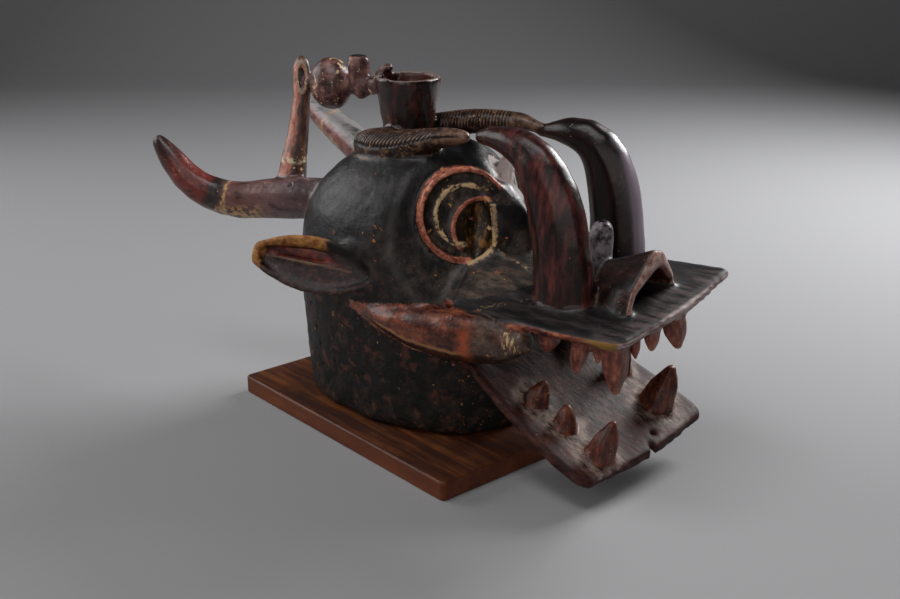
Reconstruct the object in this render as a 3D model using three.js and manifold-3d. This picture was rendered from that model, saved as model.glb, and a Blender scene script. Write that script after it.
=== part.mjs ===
// A carved wooden helmet mask on its board. Millimetres, +Z up.
// The mask faces -Y and its own left is +X. The board's underside is z = 0.
// Inside the mask's own group z = 0 is the top of the board and x = 0 the mask's middle.
import * as THREE from 'three';
import Module from 'manifold-3d';
import { mergeVertices } from 'three/addons/utils/BufferGeometryUtils.js';

const wasm = await Module();
wasm.setup();

// Board and placing
const BOARD = { width: 280, length: 347, thick: 20, corner: 4, bevel: 1.5 };
const REST_GAP = 0.3;
const MASK_TURN_DEG = 8;

// Helmet, level by level: height, half width, half length, centre along y
const HELMET_LEVELS = [
  [0, 108, 134, 9],
  [48, 111, 137, 10],
  [100, 114, 140, 11],
  [150, 115, 140, 12],
  [185, 112, 137, 12],
  [212, 105, 129, 11],
  [234, 95, 116, 10],
  [252, 81, 99, 8],
  [267, 63, 78, 8],
  [279, 41, 53, 9],
  [286, 20, 27, 10],
];
const HELMET_SIDES = 36;
const HOLLOW_SIDES = 22;
const HELMET_SQUARENESS = 2.5;
const WALL = 13;

// Hollow of the helmet: height and how far its side stands in from the outside
const HOLLOW_LEVELS = [[-5, 13], [20, 13], [70, 13], [120, 13], [165, 13], [200, 17], [226, 26], [245, 44]];

// Face, two flats that meet in a prow and trim the helmet: height, distance of a flat from the middle
const PROW_LEVELS = [
  [-10, 165], [110, 165], [128, 129], [150, 114], [175, 97], [200, 87], [226, 81], [240, 76], [253, 68],
  [268, 55], [281, 42], [295, 28],
];
const PROW_SIDEWAYS = 0.61;
const PROW_FORWARD = 0.79;

// Nose bridge: height, front of its edges, front of its middle
const BRIDGE_LEVELS = [
  [165, -112, -136], [190, -105, -132], [226, -103, -123], [240, -90, -107], [252, -74, -90],
];
const BRIDGE_HALF = 27;

const EYE = { at: [42, -76, 223], facing: [0.6, -0.78, 0.19], radius: 49, deep: 12, ring: 9, ringHigh: 6 };

const JAW_UP = { z: 158.4, rise: 0.081, roll: 0.12, y: -140, thick: 8, crown: 14, half: 96 };
const JAW_LOW = { z: 15, slope: 0.47, roll: 0.1, y: -280, thick: 10 };

const CUP = { x: 0, y: 38, foot: 284, rim: 344, footRadius: 27, rimRadius: 35, wall: 4.5, floor: 299 };

// Shared geometry helpers

const v3 = (x, y, z) => new THREE.Vector3(x, y, z);

/** Closed geometry through rings of equal length, each end closed by a fan to its middle. */
function loft(rings) {
  const count = rings[0].length;
  const points = rings.flat().flatMap((p) => [p.x, p.y, p.z]);
  const index = [];
  for (let r = 0; r + 1 < rings.length; r += 1) {
    for (let i = 0; i < count; i += 1) {
      const a = r * count + i;
      const b = r * count + ((i + 1) % count);
      index.push(a, b, b + count, a, b + count, a + count);
    }
  }
  const closeEnd = (ring, start, flip) => {
    const middle = ring.reduce((sum, p) => sum.add(p), v3(0, 0, 0)).divideScalar(count);
    const hub = points.length / 3;
    points.push(middle.x, middle.y, middle.z);
    for (let i = 0; i < count; i += 1) {
      const a = start + i;
      const b = start + ((i + 1) % count);
      index.push(...(flip ? [b, a, hub] : [a, b, hub]));
    }
  };
  closeEnd(rings[0], 0, true);
  closeEnd(rings.at(-1), (rings.length - 1) * count, false);
  const geometry = new THREE.BufferGeometry();
  geometry.setAttribute('position', new THREE.Float32BufferAttribute(points, 3));
  geometry.setIndex(index);
  return geometry;
}

/** Six times the signed volume inside a triangle mesh. */
function signedVolume(points, triangles) {
  const at = (i) => v3(points[3 * i], points[3 * i + 1], points[3 * i + 2]);
  let sum = 0;
  for (let t = 0; t < triangles.length; t += 3) {
    sum += at(triangles[t]).dot(at(triangles[t + 1]).cross(at(triangles[t + 2])));
  }
  return sum;
}

/** The body for joining and cutting of a closed three.js geometry, whichever way its rings ran. */
function solid(geometry) {
  const bare = geometry.clone();
  bare.deleteAttribute('normal');
  bare.deleteAttribute('uv');
  const welded = mergeVertices(bare, 1e-4);
  const vertProperties = new Float32Array(welded.attributes.position.array);
  const triVerts = new Uint32Array(welded.index.array);
  if (signedVolume(vertProperties, triVerts) < 0) {
    for (let t = 0; t < triVerts.length; t += 3) {
      [triVerts[t + 1], triVerts[t + 2]] = [triVerts[t + 2], triVerts[t + 1]];
    }
  }
  return new wasm.Manifold(new wasm.Mesh({ numProp: 3, vertProperties, triVerts }));
}

function toGeometry(body) {
  const mesh = body.getMesh();
  const geometry = new THREE.BufferGeometry();
  geometry.setAttribute('position', new THREE.Float32BufferAttribute(mesh.vertProperties, 3));
  geometry.setIndex(Array.from(mesh.triVerts));
  return geometry;
}

const joinAll = (bodies) => bodies.reduce((sum, body) => sum.add(body));

const mirrored = (stations) => stations.map(([x, ...rest]) => [-x, ...rest]);

/** Unit outline between an ellipse (power 2) and a box (higher powers). */
function squircle(turn, power) {
  const c = Math.cos(turn);
  const s = Math.sin(turn);
  const scale = (Math.abs(c) ** power + Math.abs(s) ** power) ** (-1 / power);
  return [c * scale, s * scale];
}

/** Values between the rows of a table whose first column is the place. */
function between(rows, place) {
  const above = rows.findIndex(([at]) => at >= place);
  if (above === 0) return rows[0].slice(1);
  if (above < 0) return rows.at(-1).slice(1);
  const [low, high] = [rows[above - 1], rows[above]];
  const mix = (place - low[0]) / (high[0] - low[0]);
  return low.slice(1).map((value, i) => value + (high[i + 1] - value) * mix);
}

/**
 * A bar along a smooth line. A station is [x, y, z, width, depth]:
 * width lies along `side`, depth stands square to it and to the line.
 */
function bar(stations, { sides = 8, steps = 10, power = 2, side = [1, 0, 0] } = {}) {
  const line = new THREE.CatmullRomCurve3(stations.map(([x, y, z]) => v3(x, y, z)), false, 'centripetal');
  const sizes = stations.map(([, , , width, depth], i) => [i / (stations.length - 1), width, depth]);
  const rings = [];
  for (let k = 0; k <= steps; k += 1) {
    const t = k / steps;
    const at = line.getPoint(t);
    const along = line.getTangent(t);
    const across = v3(...side).addScaledVector(along, -v3(...side).dot(along)).normalize();
    const up = across.clone().cross(along).normalize();
    const [width, depth] = between(sizes, t);
    const ring = [];
    for (let i = 0; i < sides; i += 1) {
      const [c, s] = squircle(((i + 0.5) / sides) * 2 * Math.PI, power);
      ring.push(at.clone().addScaledVector(across, (c * width) / 2).addScaledVector(up, (s * depth) / 2));
    }
    rings.push(ring);
  }
  return solid(loft(rings));
}

/** A faceted tooth with a small flat tip. Its foot follows the height that `foot` gives over (x, y). */
function tooth({ x, y, tip, wide, deep, turn }, foot) {
  const sides = 5;
  const stage = (mix, scale) => Array.from({ length: sides }, (_, i) => {
    const a = turn + (i / sides) * 2 * Math.PI;
    const px = x + (tip[0] - x) * mix + 0.5 * wide * scale * Math.cos(a);
    const py = y + (tip[1] - y) * mix + 0.5 * deep * scale * Math.sin(a);
    return v3(px, py, foot(px, py) * (1 - mix) + tip[2] * mix);
  });
  return solid(loft([stage(0, 1), stage(0.6, 0.78), stage(1, 0.22)]));
}

// Helmet and forehead

function helmetRing(z, inset, sides) {
  const [halfWidth, halfLength, middle] = between(HELMET_LEVELS, z);
  return Array.from({ length: sides }, (_, i) => {
    const [c, s] = squircle((i / sides) * 2 * Math.PI, HELMET_SQUARENESS);
    return v3(c * (halfWidth - inset), middle + s * (halfLength - inset), z);
  });
}

const helmet = () => solid(loft(HELMET_LEVELS.map(([z]) => helmetRing(z, 0, HELMET_SIDES))));

/** The room for the wearer's head, open below. */
function hollow() {
  const ring = (z, inset) => helmetRing(Math.max(z, 0), inset, HOLLOW_SIDES).map((p) => p.setZ(z));
  const faceWall = WALL + 3;
  return solid(loft(HOLLOW_LEVELS.map(([z, inset]) => ring(z, inset)))).intersect(prow(faceWall));
}

/** The room that the face's two flats leave: a wedge with a blunt ridge, leaning back into the crown. */
function prow(inset = 0) {
  const blunt = 5;
  const wide = 130;
  const back = 190;
  return solid(loft(PROW_LEVELS.map(([z, distance]) => {
    const flatY = (x) => -(distance - inset - PROW_SIDEWAYS * x) / PROW_FORWARD;
    const right = [[blunt, flatY(blunt)], [wide, flatY(wide)], [wide, back]];
    const left = mirrored(right).reverse();
    return [...left, ...right].map(([x, y]) => v3(x, y, z));
  })));
}

function noseBridge() {
  return solid(loft(BRIDGE_LEVELS.map(([z, edge, middle]) => (
    [[-BRIDGE_HALF, -50], [-BRIDGE_HALF, edge], [0, middle], [BRIDGE_HALF, edge], [BRIDGE_HALF, -50]]
      .map(([x, y]) => v3(x, y, z))))));
}

/** The snout's block, from the face out over the upper jaw. */
function snout() {
  // along y: half width of the foot, height of the foot, half width of the top, height of the top
  const sections = [
    [-60, 76, 155, 30, 197], [-80, 84, 157, 30, 197], [-104, 89, 158, 28, 193], [-128, 87, 160, 26, 186],
    [-150, 77, 165, 28, 181], [-172, 60, 168, 30, 177], [-215, 48, 169, 28, 172], [-240, 36, 168, 18, 165],
  ];
  const floor = 153;
  const rolled = (x, z) => [x, z + JAW_UP.roll * x];
  return solid(loft(sections.map(([y, half, foot, topHalf, top]) => [
    rolled(half, floor), rolled(half, foot), [topHalf, top - 3], [0, top],
    [-topHalf, top - 3], rolled(-half, foot), rolled(-half, floor),
  ].map(([x, z]) => v3(x, y, z)))));
}

// Eyes: a raised disc with a broad ring, a crescent ridge and a leaf-shaped hollow

/** Places a point given across, up and out on the disc of one eye, side -1 or 1. */
function onEye(sideSign) {
  const out = v3(sideSign * EYE.facing[0], EYE.facing[1], EYE.facing[2]).normalize();
  const across = v3(0, 0, 1).cross(out).normalize().multiplyScalar(sideSign);
  const up = out.clone().cross(across).multiplyScalar(sideSign);
  const middle = v3(sideSign * EYE.at[0], EYE.at[1], EYE.at[2]);
  return (a, u, o) => (
    middle.clone().addScaledVector(across, a).addScaledVector(up, u).addScaledVector(out, o));
}

/** A ridge along an arc on the eye's disc. Angles are in degrees from the outer corner, upwards. */
function eyeRidge(place, radius, wide, high, from, to, centre = [0, 0]) {
  const steps = 10;
  const rings = [];
  for (let k = 0; k <= steps; k += 1) {
    const turn = THREE.MathUtils.degToRad(from + ((to - from) * k) / steps);
    const taper = Math.min(1, 0.35 + 1.6 * Math.sin((Math.PI * k) / steps));
    const section = [[-1, -3], [-0.55, high * taper], [0.55, high * taper], [1, -3]];
    rings.push(section.map(([w, o]) => {
      const r = radius + 0.5 * w * wide * taper;
      return place(centre[0] + r * Math.cos(turn), centre[1] + r * Math.sin(turn), o);
    }));
  }
  return solid(loft(rings));
}

function eyeDisc(place) {
  const sides = 20;
  const ring = (radius, out) => Array.from({ length: sides }, (_, i) => {
    const turn = (i / sides) * 2 * Math.PI;
    return place(radius * Math.cos(turn), radius * Math.sin(turn), out);
  });
  return solid(loft([ring(EYE.radius - 6, -EYE.deep), ring(EYE.radius, -2), ring(EYE.radius - 2, 0)]));
}

/** The leaf-shaped hollow beside the nose bridge. */
function eyeHollow(place) {
  const steps = 9;
  const rings = [];
  for (let k = 0; k <= steps; k += 1) {
    const t = k / steps;
    const half = 1 + 16 * Math.sin(Math.PI * t) ** 0.8;
    const up = 17 - 64 * t;
    const middle = -16 + 7 * t;
    rings.push([[-half, 4], [half, 4], [half * 0.8, -3], [0, -2 - half * 0.55], [-half * 0.8, -3]]
      .map(([a, o]) => place(middle + a, up, o)));
  }
  return solid(loft(rings));
}

function eye(sideSign, body) {
  const place = onEye(sideSign);
  return body
    .add(eyeDisc(place))
    .add(eyeRidge(place, EYE.radius - 4, EYE.ring, EYE.ringHigh, -94, 146))
    .add(eyeRidge(place, 30, 5, 3, -40, 100, [-17, -14]))
    .subtract(eyeHollow(place));
}

// Jaws and teeth

const jawUpTop = (x, y) => {
  const ahead = JAW_UP.y - y;
  const crownFade = THREE.MathUtils.clamp((300 + y) / 110, 0, 1);
  const crown = JAW_UP.crown * crownFade * (1 - (Math.abs(x) / JAW_UP.half) ** 2);
  return JAW_UP.z + JAW_UP.rise * ahead + JAW_UP.roll * x + crown;
};
const jawUpUnder = (x, y) => JAW_UP.z + JAW_UP.rise * (JAW_UP.y - y) + JAW_UP.roll * x - JAW_UP.thick;
const jawLowTop = (x, y) => JAW_LOW.z + JAW_LOW.slope * (y - JAW_LOW.y) + JAW_LOW.roll * x;

/** A plank in rows across it, so that its top can bend. A row is [y, left x, right x, bow, skew]. */
function bentPlank(rows, top, under) {
  const across = 6;
  return solid(loft(rows.map(([y, left, right, sag = 0, skew = 0]) => {
    const xs = Array.from({ length: across + 1 }, (_, i) => left + ((right - left) * i) / across);
    const bow = (x) => y - skew * x - sag * (1 - ((2 * x - left - right) / (right - left)) ** 2);
    const upper = xs.map((x) => v3(x, bow(x), top(x, bow(x))));
    const lower = xs.map((x) => v3(x, bow(x), under(x, bow(x)))).reverse();
    return [...upper, ...lower];
  })));
}

function upperJaw() {
  const rows = [
    [-84, -80, 80], [-130, -89, 86], [-165, -94, 90], [-200, -97, 92], [-235, -98, 92], [-268, -99, 92],
    [-290, -98, 92, 4], [-299, -94, 89, 8], [-302, -88, 84, 9],
  ];
  return bentPlank(rows, jawUpTop, jawUpUnder);
}

function lowerJaw() {
  const rows = [
    [-96, -70, 70], [-124, -83, 78], [-165, -91, 85], [-205, -96, 90, 0, 0.02], [-235, -98, 95, 0, 0.05],
    [-259, -97, 97, 2, 0.07], [-269, -93, 95, 4, 0.07], [-274, -87, 89, 6, 0.07],
  ];
  return bentPlank(rows, jawLowTop, (x, y) => jawLowTop(x, y) - JAW_LOW.thick);
}

// Teeth: foot x and y, tip x, y and z, width and depth
const UPPER_TEETH = [
  [-80, -212, -80, -210, 124, 30, 28],
  [-82, -249, -82, -243, 112, 23, 24],
  [-74, -262, -74, -261, 124, 16, 17],
  [-82, -282, -81, -286, 103, 31, 33],
  [-64, -292, -64, -294, 133, 14, 15],
  [-45, -297, -45, -299, 137, 20, 19],
  [-8, -294, -6, -303, 129, 29, 30],
  [78, -240, 78, -240, 144, 16, 18],
  [76, -208, 76, -208, 142, 16, 18],
];
const LOWER_TEETH = [
  [-55, -178, -54, -188, 80, 31, 29],
  [-54, -215, -53, -215, 62, 28, 27],
  [-54, -254, -52, -267, 60, 35, 33],
  [57, -246, 62, -260, 79, 43, 39],
  [62, -200, 64, -202, 118, 26, 26],
];

function teeth() {
  const sink = 4;
  const row = (list, turn, foot) => list.map(([x, y, tipX, tipY, tipZ, wide, deep]) => (
    tooth({ x, y, tip: [tipX, tipY, tipZ], wide, deep, turn }, foot)));
  return joinAll([
    ...row(UPPER_TEETH, 0.3, (x, y) => jawUpUnder(x, y) + sink),
    ...row(LOWER_TEETH, 0.9, (x, y) => jawLowTop(x, y) - sink),
  ]);
}

/** The lower jaw's damage: a crack in from its front edge and a small square hole behind the edge. */
function jawDamage() {
  const through = 2 * JAW_LOW.thick;
  const column = (outline) => {
    const at = (offset) => outline.map(([x, y]) => v3(x, y, jawLowTop(x, y) + offset));
    return solid(loft([at(-through), at(4)]));
  };
  const [crackFront, crackEnd] = [-292, -262];
  const crack = [[-5, crackFront], [2, crackFront], [11, crackEnd], [10, crackEnd]];
  const [holeX, holeY, half] = [21, -266, 2.8];
  const hole = [[-half, -half], [half, -half], [half, half], [-half, half]];
  return joinAll([
    column(crack),
    column(hole.map(([x, y]) => [holeX + x, holeY + y])),
  ]);
}

/** Swollen lips that run back along the cheeks to a point. */
function cheek(sideSign) {
  const stations = [
    [112, 8, 127, 7, 5], [111, -30, 122, 22, 26], [104, -72, 119, 36, 46], [96, -116, 120, 42, 54],
    [91, -152, 124, 39, 49], [88, -177, 129, 33, 38], [86, -193, 132, 18, 22],
  ].map(([x, ...rest]) => [sideSign * x, ...rest]);
  return bar(stations, { sides: 8, steps: 10, power: 2.2 });
}

/** The worn gap under the foot of the helmet's right side. */
const wornFoot = () => bar(
  [[-114, 0, -4, 34, 3], [-112, -40, -2, 36, 18], [-108, -82, 0, 36, 20], [-100, -108, -4, 30, 3]],
  { sides: 6, steps: 5 },
);

/** The way through from the mouth into the helmet. */
function throat() {
  const lowest = (x, y) => jawLowTop(x, Math.min(y, -110)) + 1;
  return solid(loft([[-150, 62], [-84, 56]].map(([y, half]) => [
    v3(-half, y, lowest(-half, y)), v3(half, y, lowest(half, y)), v3(half, y, 134), v3(-half, y, 130),
  ])));
}

// Nostrils, tusks, horns and ears

function nostrilHood() {
  // along y: each section's left foot, left shoulder, two peaks, right shoulder and right foot
  const sink = 5;
  const section = (y, leftFoot, peaks, rightFoot) => [
    v3(leftFoot, y, jawUpTop(leftFoot, y) - sink), ...peaks.map(([x, z]) => v3(x, y, z)),
    v3(rightFoot, y, jawUpTop(rightFoot, y) - sink),
  ];
  const body = [
    section(-277, -57, [[-47, 187], [-13, 220], [4, 216], [24, 190]], 31),
    section(-262, -57, [[-46, 187], [-15, 214], [4, 212], [28, 190]], 36),
    section(-240, -48, [[-39, 184], [-16, 205], [2, 204], [29, 186]], 38),
    section(-219, -32, [[-27, 181], [-15, 197], [-3, 197], [20, 182]], 28),
  ];
  const [bottomOpen, topBack] = [1 + sink, 185];
  const mouth = [
    section(-290, -52, [[-42, 186], [-4, 206], [1, 206], [19, 188]], 26),
    section(-240, -33, [[-28, 176], [-8, topBack], [-2, topBack], [15, 178]], 22),
  ].map((ring) => ring.map((p, i) => (i === 0 || i === 5 ? p.setZ(p.z + bottomOpen) : p)));
  return { body: solid(loft(body)), tunnel: solid(loft(mouth)) };
}

const noseKnob = () => bar(
  [[3, -204, 160, 34, 34], [3, -206, 205, 31, 32], [4, -208, 222, 26, 25], [4, -208, 231, 14, 13]],
  { sides: 6, steps: 4 },
);

const NEAR_TUSK = [
  [-46, -204, 150, 44, 68], [-48, -199, 212, 41, 61], [-47, -190, 248, 40, 60], [-45, -174, 277, 38, 53],
  [-42, -152, 297, 34, 40], [-39, -120, 305, 28, 26], [-37, -88, 303, 11, 11],
];
const FAR_TUSK = [
  [48, -199, 150, 44, 64], [50, -195, 215, 41, 58], [50, -189, 250, 40, 57], [49, -180, 277, 38, 51],
  [47, -162, 296, 35, 40], [44, -134, 302, 28, 26], [41, -102, 297, 10, 10],
];
const NEAR_HORN = [
  [-38, 112, 206, 46, 50], [-60, 186, 199, 44, 47], [-79, 234, 193, 41, 43], [-92, 264, 199, 38, 41],
  [-103, 286, 213, 34, 38], [-112, 306, 238, 27, 32], [-118, 321, 259, 12, 15],
];
const FAR_HORN = [
  [38, 108, 222, 44, 48], [54, 165, 241, 40, 42], [66, 210, 254, 38, 38], [77, 250, 266, 34, 34],
  [90, 284, 279, 30, 30], [99, 305, 292, 23, 24], [103, 314, 303, 11, 12],
];

const tusksAndHorns = () => joinAll([
  bar(NEAR_TUSK, { steps: 10, power: 2.3 }),
  bar(FAR_TUSK, { steps: 10, power: 2.3 }),
  bar(NEAR_HORN, { steps: 10 }),
  bar(FAR_HORN, { steps: 9 }),
]);

const EAR = { root: [106, -16, 160], tip: [168, 100, 178], facing: [0.81, -0.46, 0.36], half: 31, rim: 5 };

/** A leaf-shaped ear that points back and out, scooped on the side that faces forward. */
function ear(sideSign) {
  const root = v3(sideSign * EAR.root[0], EAR.root[1], EAR.root[2]);
  const tip = v3(sideSign * EAR.tip[0], EAR.tip[1], EAR.tip[2]);
  const along = tip.clone().sub(root);
  const facing = v3(sideSign * EAR.facing[0], EAR.facing[1], EAR.facing[2]).normalize();
  const up = along.clone().cross(facing).normalize();
  const leaf = (t) => Math.sin(Math.PI * Math.min(0.06 + t * 0.86, 1)) ** 0.75;
  const shell = (inset, front, back, from, to) => {
    const steps = 7;
    const rings = [];
    for (let k = 0; k <= steps; k += 1) {
      const t = from + ((to - from) * k) / steps;
      const half = Math.max((EAR.half - inset) * leaf((t - from) / (to - from)), 1.5);
      const ring = [[-1, 0], [-0.72, -0.75], [0, -1], [0.72, -0.75], [1, 0], [0.6, 0.8], [0, 1], [-0.6, 0.8]];
      rings.push(ring.map(([u, f]) => root.clone()
        .addScaledVector(along, t)
        .addScaledVector(up, u * half)
        .addScaledVector(facing, f < 0 ? f * back : f * front)));
    }
    return solid(loft(rings));
  };
  return { body: shell(0, 4, 12, 0, 1), scoop: shell(EAR.rim, 14, 6, 0.07, 0.94) };
}

// Cup, lizards and bird on the crown

function cup() {
  const profile = (rows) => {
    const lathe = new THREE.LatheGeometry(rows.map(([r, z]) => new THREE.Vector2(r, z)), 22);
    lathe.rotateX(Math.PI / 2);
    lathe.translate(CUP.x, CUP.y, 0);
    return solid(lathe);
  };
  const body = profile([
    [0, CUP.foot - 12], [CUP.footRadius, CUP.foot - 12], [CUP.footRadius, CUP.foot + 6],
    [CUP.rimRadius - 2, CUP.rim - 14], [CUP.rimRadius, CUP.rim], [0, CUP.rim],
  ]);
  const inside = profile([
    [0, CUP.floor], [CUP.footRadius - CUP.wall, CUP.floor], [CUP.rimRadius - CUP.wall - 1, CUP.rim - 12],
    [CUP.rimRadius - CUP.wall, CUP.rim + 3], [0, CUP.rim + 3],
  ]);
  return { body, inside };
}

const NEAR_LIZARD = [
  [-36, 78, 275, 12, 12], [-39, 62, 275, 36, 34], [-40, 40, 275, 44, 44], [-40, 14, 278, 42, 40],
  [-39, -12, 286, 34, 30], [-37, -38, 294, 26, 22], [-36, -58, 298, 21, 18], [-36, -76, 300, 9, 9],
];
const FAR_LIZARD = [
  [34, 80, 280, 10, 10], [38, 58, 282, 32, 28], [39, 24, 288, 37, 30], [39, -16, 297, 33, 28],
  [38, -56, 303, 28, 24], [37, -88, 305, 22, 19], [36, -110, 303, 8, 8],
];

/** Grooves cut across a lizard's back, like the strokes of a knife. */
function hatching(stations, from, to, count, lean) {
  const line = new THREE.CatmullRomCurve3(stations.map(([x, y, z]) => v3(x, y, z)));
  const depths = stations.map(([, , , width, depth], i) => [i / (stations.length - 1), width, depth]);
  const cuts = [];
  for (let k = 0; k < count; k += 1) {
    const t = from + ((to - from) * k) / (count - 1);
    const at = line.getPoint(t);
    const [width, depth] = between(depths, t);
    const top = at.z + depth / 2;
    const wing = width * 0.75;
    const groove = [[-1.6, 2], [1.6, 2], [0, -2.2]];
    const station = (x, drop) => groove.map(([dy, dz]) => (
      v3(at.x + x, at.y + dy + (lean * x) / wing, top + dz - drop)));
    cuts.push(solid(loft([station(-wing, depth * 0.7), station(0, 0), station(wing, depth * 0.7)])));
  }
  return joinAll(cuts);
}

// Bird: where its egg-shaped body sits, and the bars for the rest of it
const BIRD_BODY = { at: [-6, 147, 325], half: [22, 27, 29] };
const BIRD_HEAD = [
  [-3, 100, 314, 12, 14], [-3, 106, 328, 19, 25], [-3, 107, 342, 20, 27], [-3, 107, 359, 20, 26],
];
const BIRD_BEAK = [
  [-5, 132, 326, 18, 24], [-3, 108, 326, 17, 22], [-1, 84, 328, 14, 20], [0, 64, 329, 12, 20],
];
const BEAK_TIP = [[-1, 82, 336, 14, 14], [1, 70, 344, 17, 18], [3, 61, 348, 13, 13]];
const BIRD_RUMP = [[-9, 172, 326, 16, 16], [-11, 182, 320, 14, 14]];
const BIRD_TAIL = [
  [-42, 180, 212, 35, 41], [-37, 180, 234, 30, 35], [-26, 182, 270, 23, 27], [-17, 184, 306, 20, 22],
  [-12, 187, 328, 22, 26], [-11, 188, 343, 18, 22], [-11, 188, 351, 8, 10],
];

/** A bird behind the cup: its beak rests on the cup's rim and its tail runs down to the right horn. */
function bird() {
  const body = new THREE.SphereGeometry(1, 12, 8);
  body.scale(...BIRD_BODY.half);
  body.translate(...BIRD_BODY.at);
  return joinAll([
    solid(body),
    bar(BIRD_HEAD, { sides: 6, steps: 3, power: 4 }),
    bar(BIRD_BEAK, { sides: 6, steps: 5 }),
    bar(BEAK_TIP, { sides: 6, steps: 4 }),
    bar(BIRD_RUMP, { sides: 6, steps: 2 }),
    bar(BIRD_TAIL, { sides: 6, steps: 10 }),
  ]);
}

// The whole mask, hollowed last

function mask() {
  const hood = nostrilHood();
  const ears = [ear(-1), ear(1)];
  const vessel = cup();
  let body = joinAll([
    helmet().intersect(prow()), noseBridge(), snout(), upperJaw(), lowerJaw().subtract(jawDamage()),
    cheek(-1), cheek(1), hood.body, noseKnob(), tusksAndHorns(),
    ...ears.map((part) => part.body),
    bar(NEAR_LIZARD, { sides: 8, steps: 10 }).subtract(hatching(NEAR_LIZARD, 0.12, 0.7, 9, 5)),
    bar(FAR_LIZARD, { sides: 8, steps: 10 }).subtract(hatching(FAR_LIZARD, 0.2, 0.78, 9, -4)),
    vessel.body, bird(),
  ]);
  body = eye(-1, body);
  body = eye(1, body);
  const scoops = ears.map((part) => part.scoop);
  const cuts = [hood.tunnel, vessel.inside, hollow(), throat(), wornFoot(), ...scoops];
  for (const cut of cuts) body = body.subtract(cut);
  return body.add(teeth());
}

function board() {
  const { width, length, thick, corner, bevel } = BOARD;
  const shape = new THREE.Shape();
  const [w, l] = [width / 2 - bevel, length / 2 - bevel];
  shape.moveTo(-w + corner, -l);
  shape.lineTo(w - corner, -l).absarc(w - corner, -l + corner, corner, -Math.PI / 2, 0);
  shape.lineTo(w, l - corner).absarc(w - corner, l - corner, corner, 0, Math.PI / 2);
  shape.lineTo(-w + corner, l).absarc(-w + corner, l - corner, corner, Math.PI / 2, Math.PI);
  shape.lineTo(-w, -l + corner).absarc(-w + corner, -l + corner, corner, Math.PI, 1.5 * Math.PI);
  const geometry = new THREE.ExtrudeGeometry(shape, {
    depth: thick - 2 * bevel, bevelThickness: bevel, bevelSize: bevel, bevelSegments: 1, curveSegments: 3,
  });
  geometry.translate(0, 0, bevel);
  return geometry;
}

const wood = (name, color, roughness) => (
  new THREE.MeshStandardMaterial({ name, color, roughness, metalness: 0 }));
const carvedWood = wood('carved_wood', 0x2c2422, 0.45);
const varnishedWood = wood('varnished_wood', 0x5c3620, 0.4);

const group = new THREE.Group();
group.name = 'helmet_mask_on_board';

const plinth = new THREE.Mesh(toGeometry(solid(board())), varnishedWood);
plinth.name = 'plinth';

const carving = new THREE.Mesh(toGeometry(mask()), carvedWood);
carving.name = 'carved_mask';

const resting = new THREE.Group();
resting.position.z = BOARD.thick + REST_GAP;
resting.rotation.z = THREE.MathUtils.degToRad(MASK_TURN_DEG);
resting.add(carving);
group.add(plinth, resting);

export default group;
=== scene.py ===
"""A carved helmet mask on its varnished board: the looks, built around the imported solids. Metres, +Z up.

The carving is one fine mesh grown from its solid. It is smoothed, cut with the carver's strokes and painted
by region. Its regions are measured in the mask's own frame: millimetres, z = 0 on the board, the face at -y.
"""

import math

import bmesh
import bpy
import numpy as np
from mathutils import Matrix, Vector
from mathutils.bvhtree import BVHTree
from mathutils.kdtree import KDTree


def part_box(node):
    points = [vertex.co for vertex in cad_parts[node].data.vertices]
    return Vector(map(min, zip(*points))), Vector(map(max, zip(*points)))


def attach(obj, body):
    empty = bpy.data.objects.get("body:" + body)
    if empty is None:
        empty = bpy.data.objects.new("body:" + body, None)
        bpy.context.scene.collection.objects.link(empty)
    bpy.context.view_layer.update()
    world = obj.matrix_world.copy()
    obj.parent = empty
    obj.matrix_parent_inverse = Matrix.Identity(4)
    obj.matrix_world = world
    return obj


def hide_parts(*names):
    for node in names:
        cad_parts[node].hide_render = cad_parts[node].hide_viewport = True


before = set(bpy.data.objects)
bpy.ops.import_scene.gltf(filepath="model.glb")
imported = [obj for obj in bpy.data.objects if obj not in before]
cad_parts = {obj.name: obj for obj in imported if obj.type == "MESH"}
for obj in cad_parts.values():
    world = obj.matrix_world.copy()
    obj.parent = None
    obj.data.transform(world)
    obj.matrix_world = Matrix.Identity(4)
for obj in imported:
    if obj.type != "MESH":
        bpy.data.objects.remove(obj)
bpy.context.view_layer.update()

MM = 0.001

# Where the mask stands on its board
BOARD_TOP = 20.3
TURN = math.radians(8)

# The fine mesh
VOXEL = 1.5
MOST_TRIANGLES = 192_000

# Helmet: height, half width, half length, centre along y
HELMET = np.array([
    [0, 108, 134, 9], [48, 111, 137, 10], [100, 114, 140, 11], [150, 115, 140, 12], [185, 112, 137, 12],
    [212, 105, 129, 11], [234, 95, 116, 10], [252, 81, 99, 8], [267, 63, 78, 8], [279, 41, 53, 9],
    [286, 20, 27, 10],
], float)
SQUARENESS = 2.5
WALL = 13
COLLAR_TOP = 150

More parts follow.
